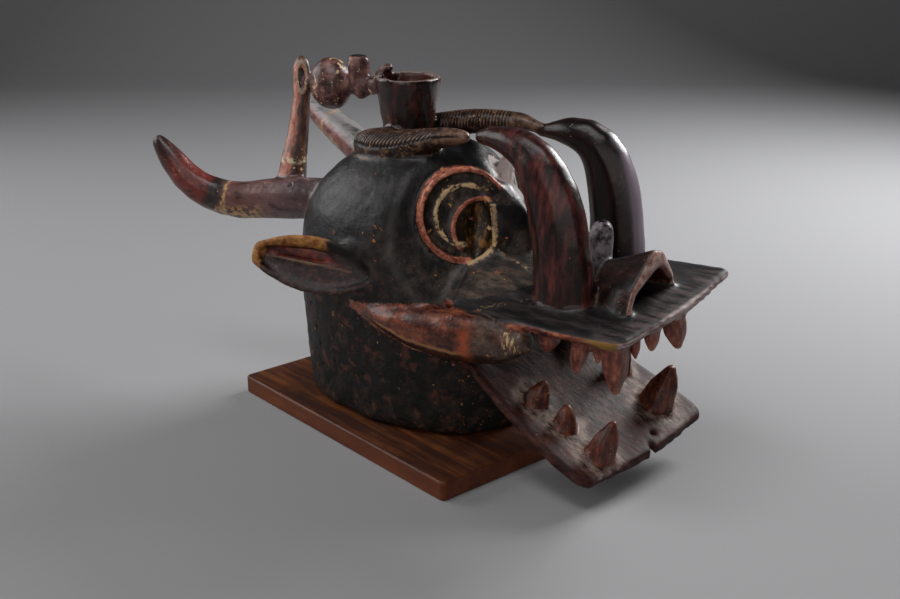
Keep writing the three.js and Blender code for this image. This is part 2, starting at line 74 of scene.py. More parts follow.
# Bars that were carved along a line: x, y, z, width, depth
NEAR_TUSK = [
    [-46, -204, 150, 44, 68], [-48, -199, 212, 41, 61], [-47, -190, 248, 40, 60], [-45, -174, 277, 38, 53],
    [-42, -152, 297, 34, 40], [-39, -120, 305, 28, 26], [-37, -88, 303, 11, 11],
]
FAR_TUSK = [
    [48, -199, 150, 44, 64], [50, -195, 215, 41, 58], [50, -189, 250, 40, 57], [49, -180, 277, 38, 51],
    [47, -162, 296, 35, 40], [44, -134, 302, 28, 26], [41, -102, 297, 10, 10],
]
NEAR_HORN = [
    [-38, 112, 206, 46, 50], [-60, 186, 199, 44, 47], [-79, 234, 193, 41, 43], [-92, 264, 199, 38, 41],
    [-103, 286, 213, 34, 38], [-112, 306, 238, 27, 32], [-118, 321, 259, 12, 15],
]
FAR_HORN = [
    [38, 108, 222, 44, 48], [54, 165, 241, 40, 42], [66, 210, 254, 38, 38], [77, 250, 266, 34, 34],
    [90, 284, 279, 30, 30], [99, 305, 292, 23, 24], [103, 314, 303, 11, 12],
]
CHEEK = [
    [112, 8, 127, 7, 5], [111, -30, 122, 22, 26], [104, -72, 119, 36, 46], [96, -116, 120, 42, 54],
    [91, -152, 124, 39, 49], [88, -177, 129, 33, 38], [86, -193, 132, 18, 22],
]
NEAR_LIZARD = [
    [-36, 78, 275, 12, 12], [-39, 62, 275, 36, 34], [-40, 40, 275, 44, 44], [-40, 14, 278, 42, 40],
    [-39, -12, 286, 34, 30], [-37, -38, 294, 26, 22], [-36, -58, 298, 21, 18], [-36, -76, 300, 9, 9],
]
FAR_LIZARD = [
    [34, 80, 280, 10, 10], [38, 58, 282, 32, 28], [39, 24, 288, 37, 30], [39, -16, 297, 33, 28],
    [38, -56, 303, 28, 24], [37, -88, 305, 22, 19], [36, -110, 303, 8, 8],
]
BIRD_HEAD = [[-3, 100, 314, 12, 14], [-3, 106, 328, 19, 25], [-3, 107, 342, 20, 27], [-3, 107, 359, 20, 26]]
BIRD_BEAK = [[-5, 132, 326, 18, 24], [-3, 108, 326, 17, 22], [-1, 84, 328, 14, 20], [0, 64, 329, 12, 20]]
BEAK_TIP = [[-1, 82, 336, 14, 14], [1, 70, 344, 17, 18], [3, 61, 348, 13, 13]]
BIRD_RUMP = [[-9, 172, 326, 16, 16], [-11, 182, 320, 14, 14]]
BIRD_TAIL = [
    [-42, 180, 212, 35, 41], [-37, 180, 234, 30, 35], [-26, 182, 270, 23, 27], [-17, 184, 306, 20, 22],
    [-12, 187, 328, 22, 26], [-11, 188, 343, 18, 22], [-11, 188, 351, 8, 10],
]
NOSE_KNOB = [[3, -204, 160, 34, 34], [3, -206, 205, 31, 32], [4, -208, 222, 26, 25], [4, -208, 231, 14, 13]]
BIRD_BODY = {"at": (-6, 147, 325), "half": (22, 27, 29)}

# Eye discs, cup and ears
EYE = {"at": (42, -76, 223), "facing": (0.6, -0.78, 0.19), "radius": 49, "depth": (-22, 9)}
CUP = {"at": (0, 38), "foot": 284, "rim": 344, "foot_radius": 27, "rim_radius": 35}
EAR = {
    "root": (106, -16, 160), "tip": (168, 100, 178), "facing": (0.81, -0.46, 0.36), "half": 31,
    "depth": (-14, 8),
}

# Jaw planks: height, rise towards the front, roll, and the place of the height
JAW_UP = {"z": 158.4, "rise": 0.081, "roll": 0.12, "y": -140, "thick": 8, "crown": 14, "half": 96}
JAW_LOW = {"z": 15, "slope": 0.47, "roll": 0.1, "y": -280, "thick": 10}

# Half the width of each jaw, by place along y
JAW_UP_EDGE = np.array([[-310, 86], [-299, 92], [-290, 95], [-235, 95], [-165, 92], [-130, 88], [-84, 80]])
JAW_LOW_EDGE = np.array([[-280, 86], [-274, 88], [-259, 97], [-205, 93], [-165, 88], [-124, 81], [-96, 70]])

# Teeth: foot x and y, tip x, y and z, width and depth
UPPER_TEETH = [
    [-80, -212, -80, -210, 124, 30, 28], [-82, -249, -82, -243, 112, 23, 24],
    [-74, -262, -74, -261, 124, 16, 17], [-82, -282, -81, -286, 103, 31, 33],
    [-64, -292, -64, -294, 133, 14, 15], [-45, -297, -45, -299, 137, 20, 19],
    [-8, -294, -6, -303, 129, 29, 30], [78, -240, 78, -240, 144, 16, 18], [76, -208, 76, -208, 142, 16, 18],
]
LOWER_TEETH = [
    [-55, -178, -54, -188, 80, 31, 29], [-54, -215, -53, -215, 62, 28, 27],
    [-54, -254, -52, -267, 60, 35, 33], [57, -246, 62, -260, 79, 43, 39], [62, -200, 64, -202, 118, 26, 26],
]

# The nostril hood's box in x and y, and its top
HOOD = {"x": (-62, 42), "y": (-281, -215), "top": 226}

# The hollow: its front and top, its height by the helmet's size, and its reach to the face by height
HOLLOW_FRONT, HOLLOW_TOP = -88, 252
CROWN_INSIDE = ([0, 0.5, 1], [250, 238, 200])
FACE_INSIDE = ([110, 128, 175, 240], [150, 114, 86, 66])
FACE_WAY = (0.61, -0.79)

# The regions, with how much of the facets' smoothing each one takes, from 0 to 1
SMOOTHING = {
    "helmet": 1.0, "hollow": 0.6, "eye": 0.25, "plank_up": 0.55, "plank_low": 0.5, "tooth_up": 0.14,
    "tooth_low": 0.14, "cheek": 0.7, "tusk": 0.45, "horn": 0.6, "ear": 0.45, "cup": 0.4, "lizard": 0.6,
    "bird": 0.45, "tail": 0.4, "hood": 0.25,
}
REGIONS = list(SMOOTHING)
SMOOTHING_ROUNDS = 44
FOLD_ROUNDS = 9
EDGE_ROUNDS = 14
SNAP_REACH = 1.1 * VOXEL
SHARP_ANGLE = math.radians(68)

# Dents and facets: the size of the noise's lumps in mm, its seed, and its height in mm by region
DENTS = [
    (19, 2, {"helmet": 0.55}), (9, 3, {"helmet": 0.35}), ((30, 38, 30), 10, {"plank_low": 0.3}),
    ((15, 15, 22), 7, {"tusk": 0.7, "horn": 0.5, "cheek": 0.5, "tail": 0.6}), (14, 15, {"hood": 0.4}),
    (9, 14, {"tooth_up": 0.5, "tooth_low": 0.5}), (15, 16, {"bird": 0.9}), (7, 17, {"bird": 0.4}),
    ((9, 20, 9), 13, {"ear": 0.3}), (12, 8, {"cup": 0.5}), ((5, 5, 9), 9, {"cup": 0.5}),
]

# The photograph's view, worked out from the board's corners: place in m, angles in degrees, lens in mm
VIEW = {"at": (-0.7973, -0.9383, 0.560), "down": 19.4345, "turn": 41.0655, "lens": 48, "sensor": 36}


# Places and noise

def to_mask(points):
    """Scene points in metres, in the mask's frame in millimetres."""
    p = points / MM
    c, s = math.cos(TURN), math.sin(TURN)
    return np.column_stack([p[:, 0] * c + p[:, 1] * s, p[:, 1] * c - p[:, 0] * s, p[:, 2] - BOARD_TOP])


def from_mask(points):
    c, s = math.cos(TURN), math.sin(TURN)
    x, y, z = points.T
    return np.column_stack([x * c - y * s, x * s + y * c, z + BOARD_TOP]) * MM


def unit(vectors):
    return vectors / np.maximum(np.linalg.norm(vectors, axis=-1, keepdims=True), 1e-9)


def smooth_step(value, low, high):
    t = np.clip((value - low) / (high - low), 0, 1)
    return t * t * (3 - 2 * t)


def lattice(cells, seed):
    """A repeatable random number from 0 to 1 for each whole-number cell."""
    x, y, z = (cells[:, i].astype(np.int64) for i in range(3))
    h = (x * 374761393 + y * 668265263 + z * 2147483647 + seed * 1274126177) & 0xFFFFFFFF
    h = ((h ^ (h >> 13)) * 1274126177) & 0xFFFFFFFF
    return ((h ^ (h >> 16)) & 0xFFFF) / 65535


def noise(points, size, seed=0):
    """Smooth noise from -1 to 1 whose lumps measure `size` in each direction."""
    q = points / np.asarray(size, float)
    cell = np.floor(q)
    f = q - cell
    f = f * f * (3 - 2 * f)
    total = np.zeros(len(points))
    for corner in np.ndindex(2, 2, 2):
        weight = np.ones(len(points))
        for axis in range(3):
            weight *= f[:, axis] if corner[axis] else 1 - f[:, axis]
        total += weight * lattice(cell + np.array(corner), seed)
    return total * 2 - 1


# Regions: each measure gives the distance to a surface in mm, and two coordinates on it

FAR_AWAY = 999.0
# A point goes to the nearest region. Past this distance from all of them it is the helmet's
REGION_REACH = 3.0
# How near a region without a distance of its own claims to be, and how far past its size it reaches
CLAIM = {"hollow": 0.1, "eye": 0.2, "ear": 0.2, "cup": 0.25, "plank": 0.3, "hood": 2.6}
SLACK = 1.5


def smooth_line(stations, per_span=10):
    """A smooth line through the stations. Every column is carried along it."""
    rows = np.array(stations, float)
    padded = np.vstack([2 * rows[0] - rows[1], rows, 2 * rows[-1] - rows[-2]])
    out = []
    for a, b, c, d in zip(padded, padded[1:], padded[2:], padded[3:]):
        for k in range(per_span):
            t = k / per_span
            out.append(0.5 * (2 * b + (c - a) * t + (2 * a - 5 * b + 4 * c - d) * t * t
                              + (3 * b - a - 3 * c + d) * t ** 3))
    return np.array(out + [rows[-1]])


def only_near(points, low, high, margin, measure):
    """Runs a measure on the points in a box alone. The rest are far away."""
    inside = np.all((points > np.array(low) - margin) & (points < np.array(high) + margin), axis=1)
    result = np.full((3, len(points)), 0.0)
    result[0] = FAR_AWAY
    if inside.any():
        result[:, inside] = measure(points[inside])
    return result


def bar(stations, side=(1, 0, 0)):
    """Distance to a bar's skin, the place along it from 0 to 1, and the height round it from -1 to 1."""
    line = smooth_line(stations)
    centres = line[:, :3]
    half = np.maximum(line[:, 3:] / 2, 2)
    tangent = unit(np.gradient(centres, axis=0))
    across = np.array(side, float) - tangent * (tangent @ np.array(side, float))[:, None]
    across = unit(across)
    up = np.cross(across, tangent)
    up *= np.sign(up[:, 2:3] + 1e-6)
    length = np.concatenate([[0], np.cumsum(np.linalg.norm(np.diff(centres, axis=0), axis=1))])

    def measure(p):
        squares = (p ** 2).sum(1)[:, None] - 2 * p @ centres.T + (centres ** 2).sum(1)
        near = squares.argmin(1)
        off = p - centres[near]
        a = (off * across[near]).sum(1) / half[near, 0]
        b = (off * up[near]).sum(1) / half[near, 1]
        distance = (np.hypot(a, b) - 1) * half[near].mean(1)
        past = np.abs((off * tangent[near]).sum(1)) - 6
        along = (length[near] + (off * tangent[near]).sum(1)) / length[-1]
        return np.array([np.maximum(distance, past), along, b])

    reach = half.max()
    return lambda p: only_near(p, centres.min(0), centres.max(0), reach + 5, measure)


def on_side(place, side):
    """A place or a direction given for the mask's own left side (1), or its mirror image (-1)."""
    return np.array([side * place[0], *place[1:]], float)


def helmet_size(p, inset=0.0):
    """The helmet's squared-off radius at each point: 1 on its outside, less within."""
    half_x, half_y, middle = (np.interp(p[:, 2], HELMET[:, 0], HELMET[:, k]) for k in (1, 2, 3))
    x = np.abs(p[:, 0]) / np.maximum(half_x - inset, 1)
    y = np.abs(p[:, 1] - middle) / np.maximum(half_y - inset, 1)
    return (x ** SQUARENESS + y ** SQUARENESS) ** (1 / SQUARENESS)


def hollow(p):
    """The helmet's inside: deeper than most of the wall, and behind the face."""
    x, y, z = p.T
    deep = (helmet_size(p, WALL * 0.6) < 1) & (y > HOLLOW_FRONT) & (z < HOLLOW_TOP)
    under_crown = z < np.interp(helmet_size(p), *CROWN_INSIDE)
    behind_face = FACE_WAY[0] * np.abs(x) + FACE_WAY[1] * y < np.interp(z, *FACE_INSIDE)
    inside = deep & behind_face & under_crown
    return np.array([np.where(inside, CLAIM["hollow"], FAR_AWAY), z / 250, np.zeros(len(p))])


def eye_frame(side):
    out = unit(on_side(EYE["facing"], side))
    across = unit(np.cross([0, 0, 1], out)) * side
    up = np.cross(out, across) * side
    return on_side(EYE["at"], side), across, up, out


def eye(side):
    """On the disc of an eye: the distance from its middle in mm, and the turn from its outer corner."""
    middle, across, up, out = eye_frame(side)

    def measure(p):
        off = p - middle
        a, b, o = off @ across, off @ up, off @ out
        on_disc = (np.hypot(a, b) < EYE["radius"] + SLACK) & (o > EYE["depth"][0]) & (o < EYE["depth"][1])
        turn = np.degrees(np.arctan2(b, a))
        turn = np.where(turn < -150, turn + 360, turn)
        return np.array([np.where(on_disc, CLAIM["eye"], FAR_AWAY), np.hypot(a, b), turn])

    return lambda p: only_near(p, middle, middle, 60, measure)


def jaw_up_flat(x, y):
    return JAW_UP["z"] + JAW_UP["rise"] * (JAW_UP["y"] - y) + JAW_UP["roll"] * x


def jaw_up_top(x, y):
    fade = np.clip((300 + y) / 110, 0, 1)
    return jaw_up_flat(x, y) + JAW_UP["crown"] * fade * (1 - (np.abs(x) / JAW_UP["half"]) ** 2)


def jaw_up_under(x, y):
    return jaw_up_flat(x, y) - JAW_UP["thick"]


def jaw_low_top(x, y):
    return JAW_LOW["z"] + JAW_LOW["slope"] * (y - JAW_LOW["y"]) + JAW_LOW["roll"] * x


def jaw_low_under(x, y):
    return jaw_low_top(x, y) - JAW_LOW["thick"]


def plank(top, under, edge):
    """Distance to a jaw plank, the place along it in mm, and the place across it in mm."""
    front, back = edge[0, 0], -88
    side_slack, front_slack = 6, 4

    def measure(p):
        x, y, z = p.T
        half = np.interp(y, edge[:, 0], edge[:, 1])
        skin = np.minimum(np.abs(z - top(x, y)), np.abs(z - under(x, y)))
        between = (z < top(x, y)) & (z > under(x, y))
        outside = np.maximum(np.abs(x) - half - side_slack, 0)
        outside += np.maximum(front - front_slack - y, 0) + np.maximum(y - back, 0)
        return np.array([np.where(between, CLAIM["plank"], skin) + outside, y, x])

    return lambda p: only_near(p, (-104, front, 0), (104, -80, 190), 8, measure)


def tooth(row, foot):
    """Distance to a tooth, the place from its foot to its tip, and the turn round it."""
    x, y, tip_x, tip_y, tip_z, wide, deep = row
    foot_z = float(foot(np.array([x]), np.array([y]))[0])

    def measure(p):
        t = (p[:, 2] - foot_z) / (tip_z - foot_z)
        dx = p[:, 0] - (x + (tip_x - x) * t)
        dy = p[:, 1] - (y + (tip_y - y) * t)
        scale = np.interp(t, [0, 0.6, 1], [1, 0.78, 0.22]) / 2
        rho = np.hypot(dx / (wide * scale), dy / (deep * scale))
        distance = np.abs(rho - 0.9) * wide * scale
        clear_of_foot = (p[:, 2] - foot(p[:, 0], p[:, 1])) / (tip_z - foot_z) > 0.02
        return np.array([np.where(clear_of_foot & (t < 1.06), distance, FAR_AWAY), t, np.arctan2(dy, dx)])

    low = (min(x, tip_x) - wide / 2, min(y, tip_y) - deep / 2, min(foot_z, tip_z) - 6)
    high = (max(x, tip_x) + wide / 2, max(y, tip_y) + deep / 2, max(foot_z, tip_z) + 2)
    return lambda p: only_near(p, low, high, 4, measure)


def ear(side):
    """On an ear: the place along it, and the place across it from -1 to 1."""
    root, tip, facing = (on_side(EAR[key], side) for key in ("root", "tip", "facing"))
    facing = unit(facing)
    along = tip - root
    up = unit(np.cross(along, facing)) * side

    def measure(p):
        off = p - root
        t = off @ along / (along @ along)
        leaf = np.sin(np.pi * np.clip(0.06 + t * 0.86, 0, 1)) ** 0.75 * EAR["half"]
        across = off @ up / np.maximum(leaf, 3)
        front = off @ facing
        on_ear = (t > -0.02) & (t < 1.04) & (np.abs(across) < 1.25) & (helmet_size(p) > 1.0)
        on_ear &= (front > EAR["depth"][0]) & (front < EAR["depth"][1])
        return np.array([np.where(on_ear, CLAIM["ear"], FAR_AWAY), t, across])

    return lambda p: only_near(p, np.minimum(root, tip), np.maximum(root, tip), 40, measure)


def cup(p):
    x, y, z = p[:, 0] - CUP["at"][0], p[:, 1] - CUP["at"][1], p[:, 2]
    radius = np.interp(z, [CUP["foot"], CUP["rim"]], [CUP["foot_radius"], CUP["rim_radius"]])
    near = np.hypot(x, y)
    on_cup = (near < radius + SLACK) & (z > CUP["foot"] - 2) & (z < CUP["rim"] + SLACK)
    return np.array([np.where(on_cup, CLAIM["cup"], FAR_AWAY), z, np.arctan2(y, x)])


def bird_body(p):
    off = (p - np.array(BIRD_BODY["at"])) / np.array(BIRD_BODY["half"])
    size = np.linalg.norm(off, axis=1)
    return np.array([np.abs(size - 0.98) * min(BIRD_BODY["half"]), off[:, 2], off[:, 1]])


def hood(p):
    """The nostril hood: a ridged cap over the front of the upper jaw."""
    x, y, z = p.T
    in_box = (x > HOOD["x"][0]) & (x < HOOD["x"][1]) & (y > HOOD["y"][0]) & (y < HOOD["y"][1])
    on_hood = in_box & (z - jaw_up_top(x, y) > 1.2) & (z < HOOD["top"])
    return np.array([np.where(on_hood, CLAIM["hood"], FAR_AWAY), y, x])


def region_measures():
    """Pairs of a region's name and a measure. Several measures may share a name."""
    bars = {
        "tusk": (NEAR_TUSK, FAR_TUSK), "horn": (NEAR_HORN, FAR_HORN), "lizard": (NEAR_LIZARD, FAR_LIZARD),
        "bird": (BIRD_HEAD, BIRD_BEAK, BEAK_TIP, BIRD_RUMP), "tail": (BIRD_TAIL,), "hood": (NOSE_KNOB,),
        "cheek": [[on_side(row, side) for row in CHEEK] for side in (1, -1)],
    }
    pairs = [("hollow", hollow), ("cup", cup), ("bird", bird_body), ("hood", hood)]
    pairs += [(name, measure(side)) for name, measure in (("eye", eye), ("ear", ear)) for side in (-1, 1)]
    pairs += [(name, bar(rows)) for name, lines in bars.items() for rows in lines]
    pairs += [("plank_up", plank(jaw_up_top, jaw_up_under, JAW_UP_EDGE))]
    pairs += [("plank_low", plank(jaw_low_top, jaw_low_under, JAW_LOW_EDGE))]
    pairs += [("tooth_up", tooth(row, jaw_up_under)) for row in UPPER_TEETH]
    pairs += [("tooth_low", tooth(row, jaw_low_top)) for row in LOWER_TEETH]
    return pairs


def classify(points, known=None):
    """For each point its region's number and the two coordinates there. The helmet takes what is left.

    Where the regions are known, it only works out the coordinates.
    """
    region = np.zeros(len(points), int) if known is None else known
    best = np.full(len(points), REGION_REACH if known is None else 2 * FAR_AWAY)
    place = np.zeros((2, len(points)))
    for name, measure in region_measures():
        number = REGIONS.index(name)
        mine = np.flatnonzero(region == number) if known is not None else np.arange(len(points))
        distance, *uv = measure(points[mine])
        closer = np.abs(distance) < best[mine]
        chosen = mine[closer]
        best[chosen] = np.abs(distance)[closer]
        region[chosen] = number
        place[:, chosen] = np.array(uv)[:, closer]
    return region, place


# The fine mesh

def with_modifier(obj, kind, **settings):
    """Applies one modifier to an object's mesh."""
    modifier = obj.modifiers.new(kind.lower(), kind)
    for key, value in settings.items():
        setattr(modifier, key, value)
    graph = bpy.context.evaluated_depsgraph_get()
    mesh = bpy.data.meshes.new_from_object(obj.evaluated_get(graph))
    obj.modifiers.clear()
    old = obj.data
    obj.data = mesh
    bpy.data.meshes.remove(old)


def read(items, key, width=1, kind=np.int32):
    """One value of every item of a mesh, `width` numbers each."""
    flat = np.empty(len(items) * width, kind)
    items.foreach_get(key, flat)
    return flat


def store(mesh, name, values, where="POINT"):
    mesh.attributes.new(name, "FLOAT", where).data.foreach_set("value", values.astype(np.float32))


def coordinates(mesh, key="co"):
    return read(mesh.vertices, key, 3, np.float32).reshape(-1, 3).astype(float)


def set_coordinates(mesh, points):
    mesh.vertices.foreach_set("co", points.astype(np.float32).ravel())
    mesh.update()


def neighbour_mean(mesh):
    """A function that gives each vertex the mean of its neighbours' values."""
    a, b = read(mesh.edges, "vertices", 2).reshape(-1, 2).T
    count = len(mesh.vertices)
    degree = np.bincount(a, minlength=count) + np.bincount(b, minlength=count)

    def mean(values):
        out = np.empty_like(values)
        for k in range(values.shape[1]):
            column = values[:, k]
            out[:, k] = np.bincount(a, column[b], count) + np.bincount(b, column[a], count)
        return out / degree[:, None]

    return mean


def blurred(values, mean, rounds):
    for _ in range(rounds):
        values = mean(values)
    return values


def convexity(points, out, mean, rounds):
    """How far the skin stands out (above 0) or folds in (below 0) over its neighbourhood, in mm."""
    return ((points - blurred(points, mean, rounds)) * out).sum(1)


def softened(points, out, mean, strength):
    """Evens out facets and fills sharp folds a little, and keeps each form's own size."""
    out = unit(blurred(out, mean, FOLD_ROUNDS))
    fold = smooth_step(-convexity(points, out, mean, FOLD_ROUNDS), 0.3, 1.4)[:, None]
    strength = np.maximum(strength, 0.85 * np.minimum(1.6 * blurred(fold, mean, 3), 1))
    even = points
    for _ in range(SMOOTHING_ROUNDS):
        even = even + strength * (mean(even) - even)
    shrunk = ((even - points) * out).sum(1)[:, None]
    return even - out * blurred(shrunk, mean, 2 * SMOOTHING_ROUNDS)


# Worn lines: ridges that have lost their paint, as chains of points in the mask's frame

Y_TOP, Y_NODE = (-25, -99, 232), (-28, -102, 191)
NOSE_RIDGES = [
    [Y_TOP, (-26, -101, 212), Y_NODE], [Y_NODE, (-28, -127, 184), (-30, -151, 178)],
    [Y_NODE, (-38, -97, 184), (-51, -90, 177)],
]
SNOUT_FOOT = [(-60, -174, 162), (-77, -150, 157), (-88, -133, 149)]
# Each worn line: how bare it is, half its width in mm, and its chain of points
WORN_LINES = [
    (0.9, 7, NOSE_RIDGES[0]), (0.62, 5, NOSE_RIDGES[1]), (1.0, 8, NOSE_RIDGES[2]), (0.6, 7, SNOUT_FOOT),
]
CREASE = [(-52, -90, 177), (-77, -95, 157), (-92, -104, 148), (-107, -112, 141)]
FINGER = {"at": (-19.5, 180, 330), "half": (5.0, 15.0)}
HORN_HOLE = (-64, 157, 220)
EGG_RING = (-26, 137, 321)
BEAK_CURL = (3, 67, 342)
TO_VIEWER = unit(np.array([-0.71, -0.62, 0.33]))


def line_distance(p, chain):
    """Distance in mm from each point to a chain of straight spans."""
    best = np.full(len(p), FAR_AWAY)
    for a, b in zip(np.array(chain, float), np.array(chain[1:], float)):
        t = np.clip((p - a) @ (b - a) / ((b - a) @ (b - a)), 0, 1)
        best = np.minimum(best, np.linalg.norm(p - a - t[:, None] * (b - a), axis=1))
    return best


def seen_from_front(p, centre):
    """Places round a centre, across and up, as seen from the front left."""
    across = unit(np.cross([0, 0, 1], TO_VIEWER))
    up = np.cross(TO_VIEWER, across)
    off = p - np.array(centre, float)
    near = np.linalg.norm(off, axis=1) < 30
    return np.where(near, off @ across, FAR_AWAY), np.where(near, off @ up, FAR_AWAY)


def finger_size(p):
    """1 on the rim of the oval cut in the tail's end, less inside it."""
    a, b = seen_from_front(p, FINGER["at"])
    return np.hypot(a / FINGER["half"][0], b / FINGER["half"][1])


def hump(value, half_width):
    """1 at 0, falling smoothly to 0 at the half width."""
    return 1 - smooth_step(np.abs(value), 0, half_width)


def lizard_strokes(p, u, v):
    """Fine knife strokes across the back, more slanted on the near lizard, over a plain lower edge."""
    near = p[:, 0] < 0
    near_and_far = [(4.3, 4.2), (0.9, -0.3), (0.04, 0.1), (0.76, 0.84), (-40, 39), (0.15, -0.3)]
    pitch, slant, start, end, middle, low = (np.where(near, *pair) for pair in near_and_far)
    phase = (p[:, 1] + slant * (p[:, 0] - middle)) / pitch
    stroke = hump(phase - np.round(phase), 0.44)
    reach = smooth_step(u, start, start + 0.05) * (1 - smooth_step(u, end - 0.05, end))
    back = smooth_step(v, low - 0.1, low + 0.15)
    ledge = near * hump(v - low, 0.16)
    return -1.5 * stroke * reach * back - 0.9 * ledge


def eye_cuts(u, v):
    """The thin ring within the broad one, and the cuts beside them."""
    arc = smooth_step(v, -92, -78) * (1 - smooth_step(v, 104, 124))
    thin = hump(u - 29.5, 3.4)
    cut = hump(u - 40.4, 2.4) + 0.9 * hump(u - 50.6, 2.2)
    return arc * (1.3 * thin - 1.2 * cut)


def ear_folds(u, v):
    """A long crest along the ear with a deep fold above it, both fading to the ends."""
    v = -v
    reach = smooth_step(u, 0.24, 0.55) * (1 - smooth_step(u, 0.75, 0.95))
    crest = hump(v - 0.02, 0.22)
    fold = smooth_step(v, 0.04, 0.2) * (1 - smooth_step(v, 0.42, 0.62))
    below = 1 - smooth_step(v, -0.5, 0.0)
    return reach * (1.6 * crest - 4.2 * fold + 1.2 * below * smooth_step(v, -0.95, -0.6))


def small_carving(p):
    """Single marks: worn ridges, the crease of the cheek, the tail's oval cut, rings and holes."""
    out = np.zeros(len(p))
    for chain in NOSE_RIDGES:
        out += 1.6 * hump(line_distance(p, chain), 4.5)
    out -= 1.0 * hump(line_distance(p, CREASE), 4)
    size = finger_size(p)
    out += -1.8 * (1 - smooth_step(size, 0.6, 0.9)) + 0.6 * hump(size - 1.15, 0.25)
    for centre, radius in ((EGG_RING, 5.5), (BEAK_CURL, 5.0), (BEAK_CURL, 9.0)):
        ring = np.hypot(*seen_from_front(p, centre))
        out -= 0.9 * hump(ring - radius, 1.5)
    hole = np.linalg.norm(p - np.array(HORN_HOLE), axis=1)
    out += 0.7 * hump(hole - 4.2, 1.6) - 2.2 * (1 - smooth_step(hole, 1.2, 3.0))
    return out


def relief(p, out, region, u, v):
    """How far each point of the carving stands out from or into its smooth form, in mm."""
    is_in = {name: region == k for k, name in enumerate(REGIONS)}
    lift = 0.14 * noise(p, 11, 1)
    for size, seed, heights in DENTS:
        lift += sum(height * is_in[name] for name, height in heights.items()) * noise(p, size, seed)
    collar = is_in["helmet"] * (1 - smooth_step(p[:, 2], COLLAR_TOP - 50, COLLAR_TOP + 10))
    pits = smooth_step(noise(p, 5.5, 3) + 0.6 * noise(p, 2.6, 4), 0.6, 1.0)
    lift += collar * (1.1 * noise(p, 27, 5) + 0.4 * noise(p, 7, 12) - 0.9 * pits)
    flat = smooth_step(np.abs(out[:, 2]), 0.8, 0.95)
    grain = noise(p, (2.8, 70, 2.8), 6)
    lift += flat * grain * (is_in["plank_up"] * 0.06 + is_in["plank_low"] * 0.3)
    lift += np.where(is_in["lizard"], lizard_strokes(p, u, v), 0)
    lift += np.where(is_in["eye"], eye_cuts(u, v), 0)
    lift += np.where(is_in["ear"], ear_folds(u, v), 0)
    return lift + small_carving(p)


def sharp_edge_points(shape, least_angle=30, step=0.5):
    """Points every half millimetre along the sharp edges of a shape."""
    chains = []
    for edge in shape.edges:
        if edge.is_manifold and edge.calc_face_angle() > math.radians(least_angle):
            a, b = (np.array(vert.co) for vert in edge.verts)
            parts = 1 + int(np.linalg.norm(b - a) / step)
            chains.append(a + (b - a) * np.linspace(0, 1, parts + 1)[:, None])
    return np.concatenate(chains)


def snapped(points, shape, reach):
    """Puts points back on a shape's faces, and on its sharp edges where they come within reach of one."""
    surface = BVHTree.FromBMesh(shape)
    points = np.array([surface.find_nearest(point)[0] for point in points])
    edge_points = sharp_edge_points(shape)
    tree = KDTree(len(edge_points))
    for k, point in enumerate(edge_points):
        tree.insert(point, k)
    tree.balance()
    found = [tree.find(point) for point in points]
    nearest = np.array([place for place, _, _ in found])
    distance = np.array([away for _, _, away in found])[:, None]
    return np.where(distance < reach, nearest, points)


def fine_copy(node):
    """The solid's form in small even faces, with its points in the mask's frame."""
    carving = bpy.data.objects.new("carving", node.data.copy())
    bpy.context.scene.collection.objects.link(carving)
    set_coordinates(carving.data, to_mask(coordinates(carving.data)))
    solid = bmesh.new()
    solid.from_mesh(carving.data)
    bmesh.ops.remove_doubles(solid, verts=solid.verts, dist=0.001)
    with_modifier(carving, "REMESH", mode="VOXEL", voxel_size=VOXEL, use_smooth_shade=True)
    return carving, snapped(coordinates(carving.data), solid, SNAP_REACH)


def fine_carving(node):
    """The carving's mesh: the solid's form with soft facets and knife strokes."""
    carving, p = fine_copy(node)
    mesh = carving.data
    mean = neighbour_mean(mesh)
    set_coordinates(mesh, from_mask(p))
    region, _ = classify(p)
    strength = np.array([SMOOTHING[name] for name in REGIONS])[region][:, None]
    p = softened(p, outward(mesh, p), mean, blurred(strength, mean, 4))
    set_coordinates(mesh, from_mask(p))
    region, (u, v) = classify(p)
    out = outward(mesh, p)
    p = p + out * relief(p, out, region, u, v)[:, None]
    p[:, 2] = np.maximum(p[:, 2], 0)
    set_coordinates(mesh, from_mask(p))
    store(mesh, "edge", convexity(p, outward(mesh, p), mean, EDGE_ROUNDS))
    triangles = 2 * len(mesh.polygons)
    if triangles > MOST_TRIANGLES:
        with_modifier(carving, "DECIMATE", ratio=MOST_TRIANGLES / triangles)
    keep_in_box(carving, node)
    return carving


def outward(mesh, p):
    """The mesh's normals in the mask's frame."""
    return to_mask(coordinates(mesh) + coordinates(mesh, "normal") * MM) - p


def keep_in_box(piece, node):
    """No vertex leaves the solid's own box."""
    low, high = (np.array(c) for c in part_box(node.name))
    set_coordinates(piece.data, np.clip(coordinates(piece.data), low, high))


def worn_places(p):
    """1 where paint has gone along a line or round a tooth's foot, 0 elsewhere."""
    worn = np.zeros(len(p))
    for bare, width, chain in WORN_LINES:
        worn = np.maximum(worn, bare * hump(line_distance(p, chain), width))
    worn = np.maximum(worn, hump(finger_size(p) - 1.1, 0.5))
    for x, y, _, _, _, wide, deep in LOWER_TEETH:
        size = np.hypot((p[:, 0] - x) / (wide / 2), (p[:, 1] - y) / (deep / 2))
        on_top = np.abs(p[:, 2] - jaw_low_top(p[:, 0], p[:, 1])) < 4
        worn = np.maximum(worn, on_top * (1 - smooth_step(size, 1.0, 2.3)))
    return worn


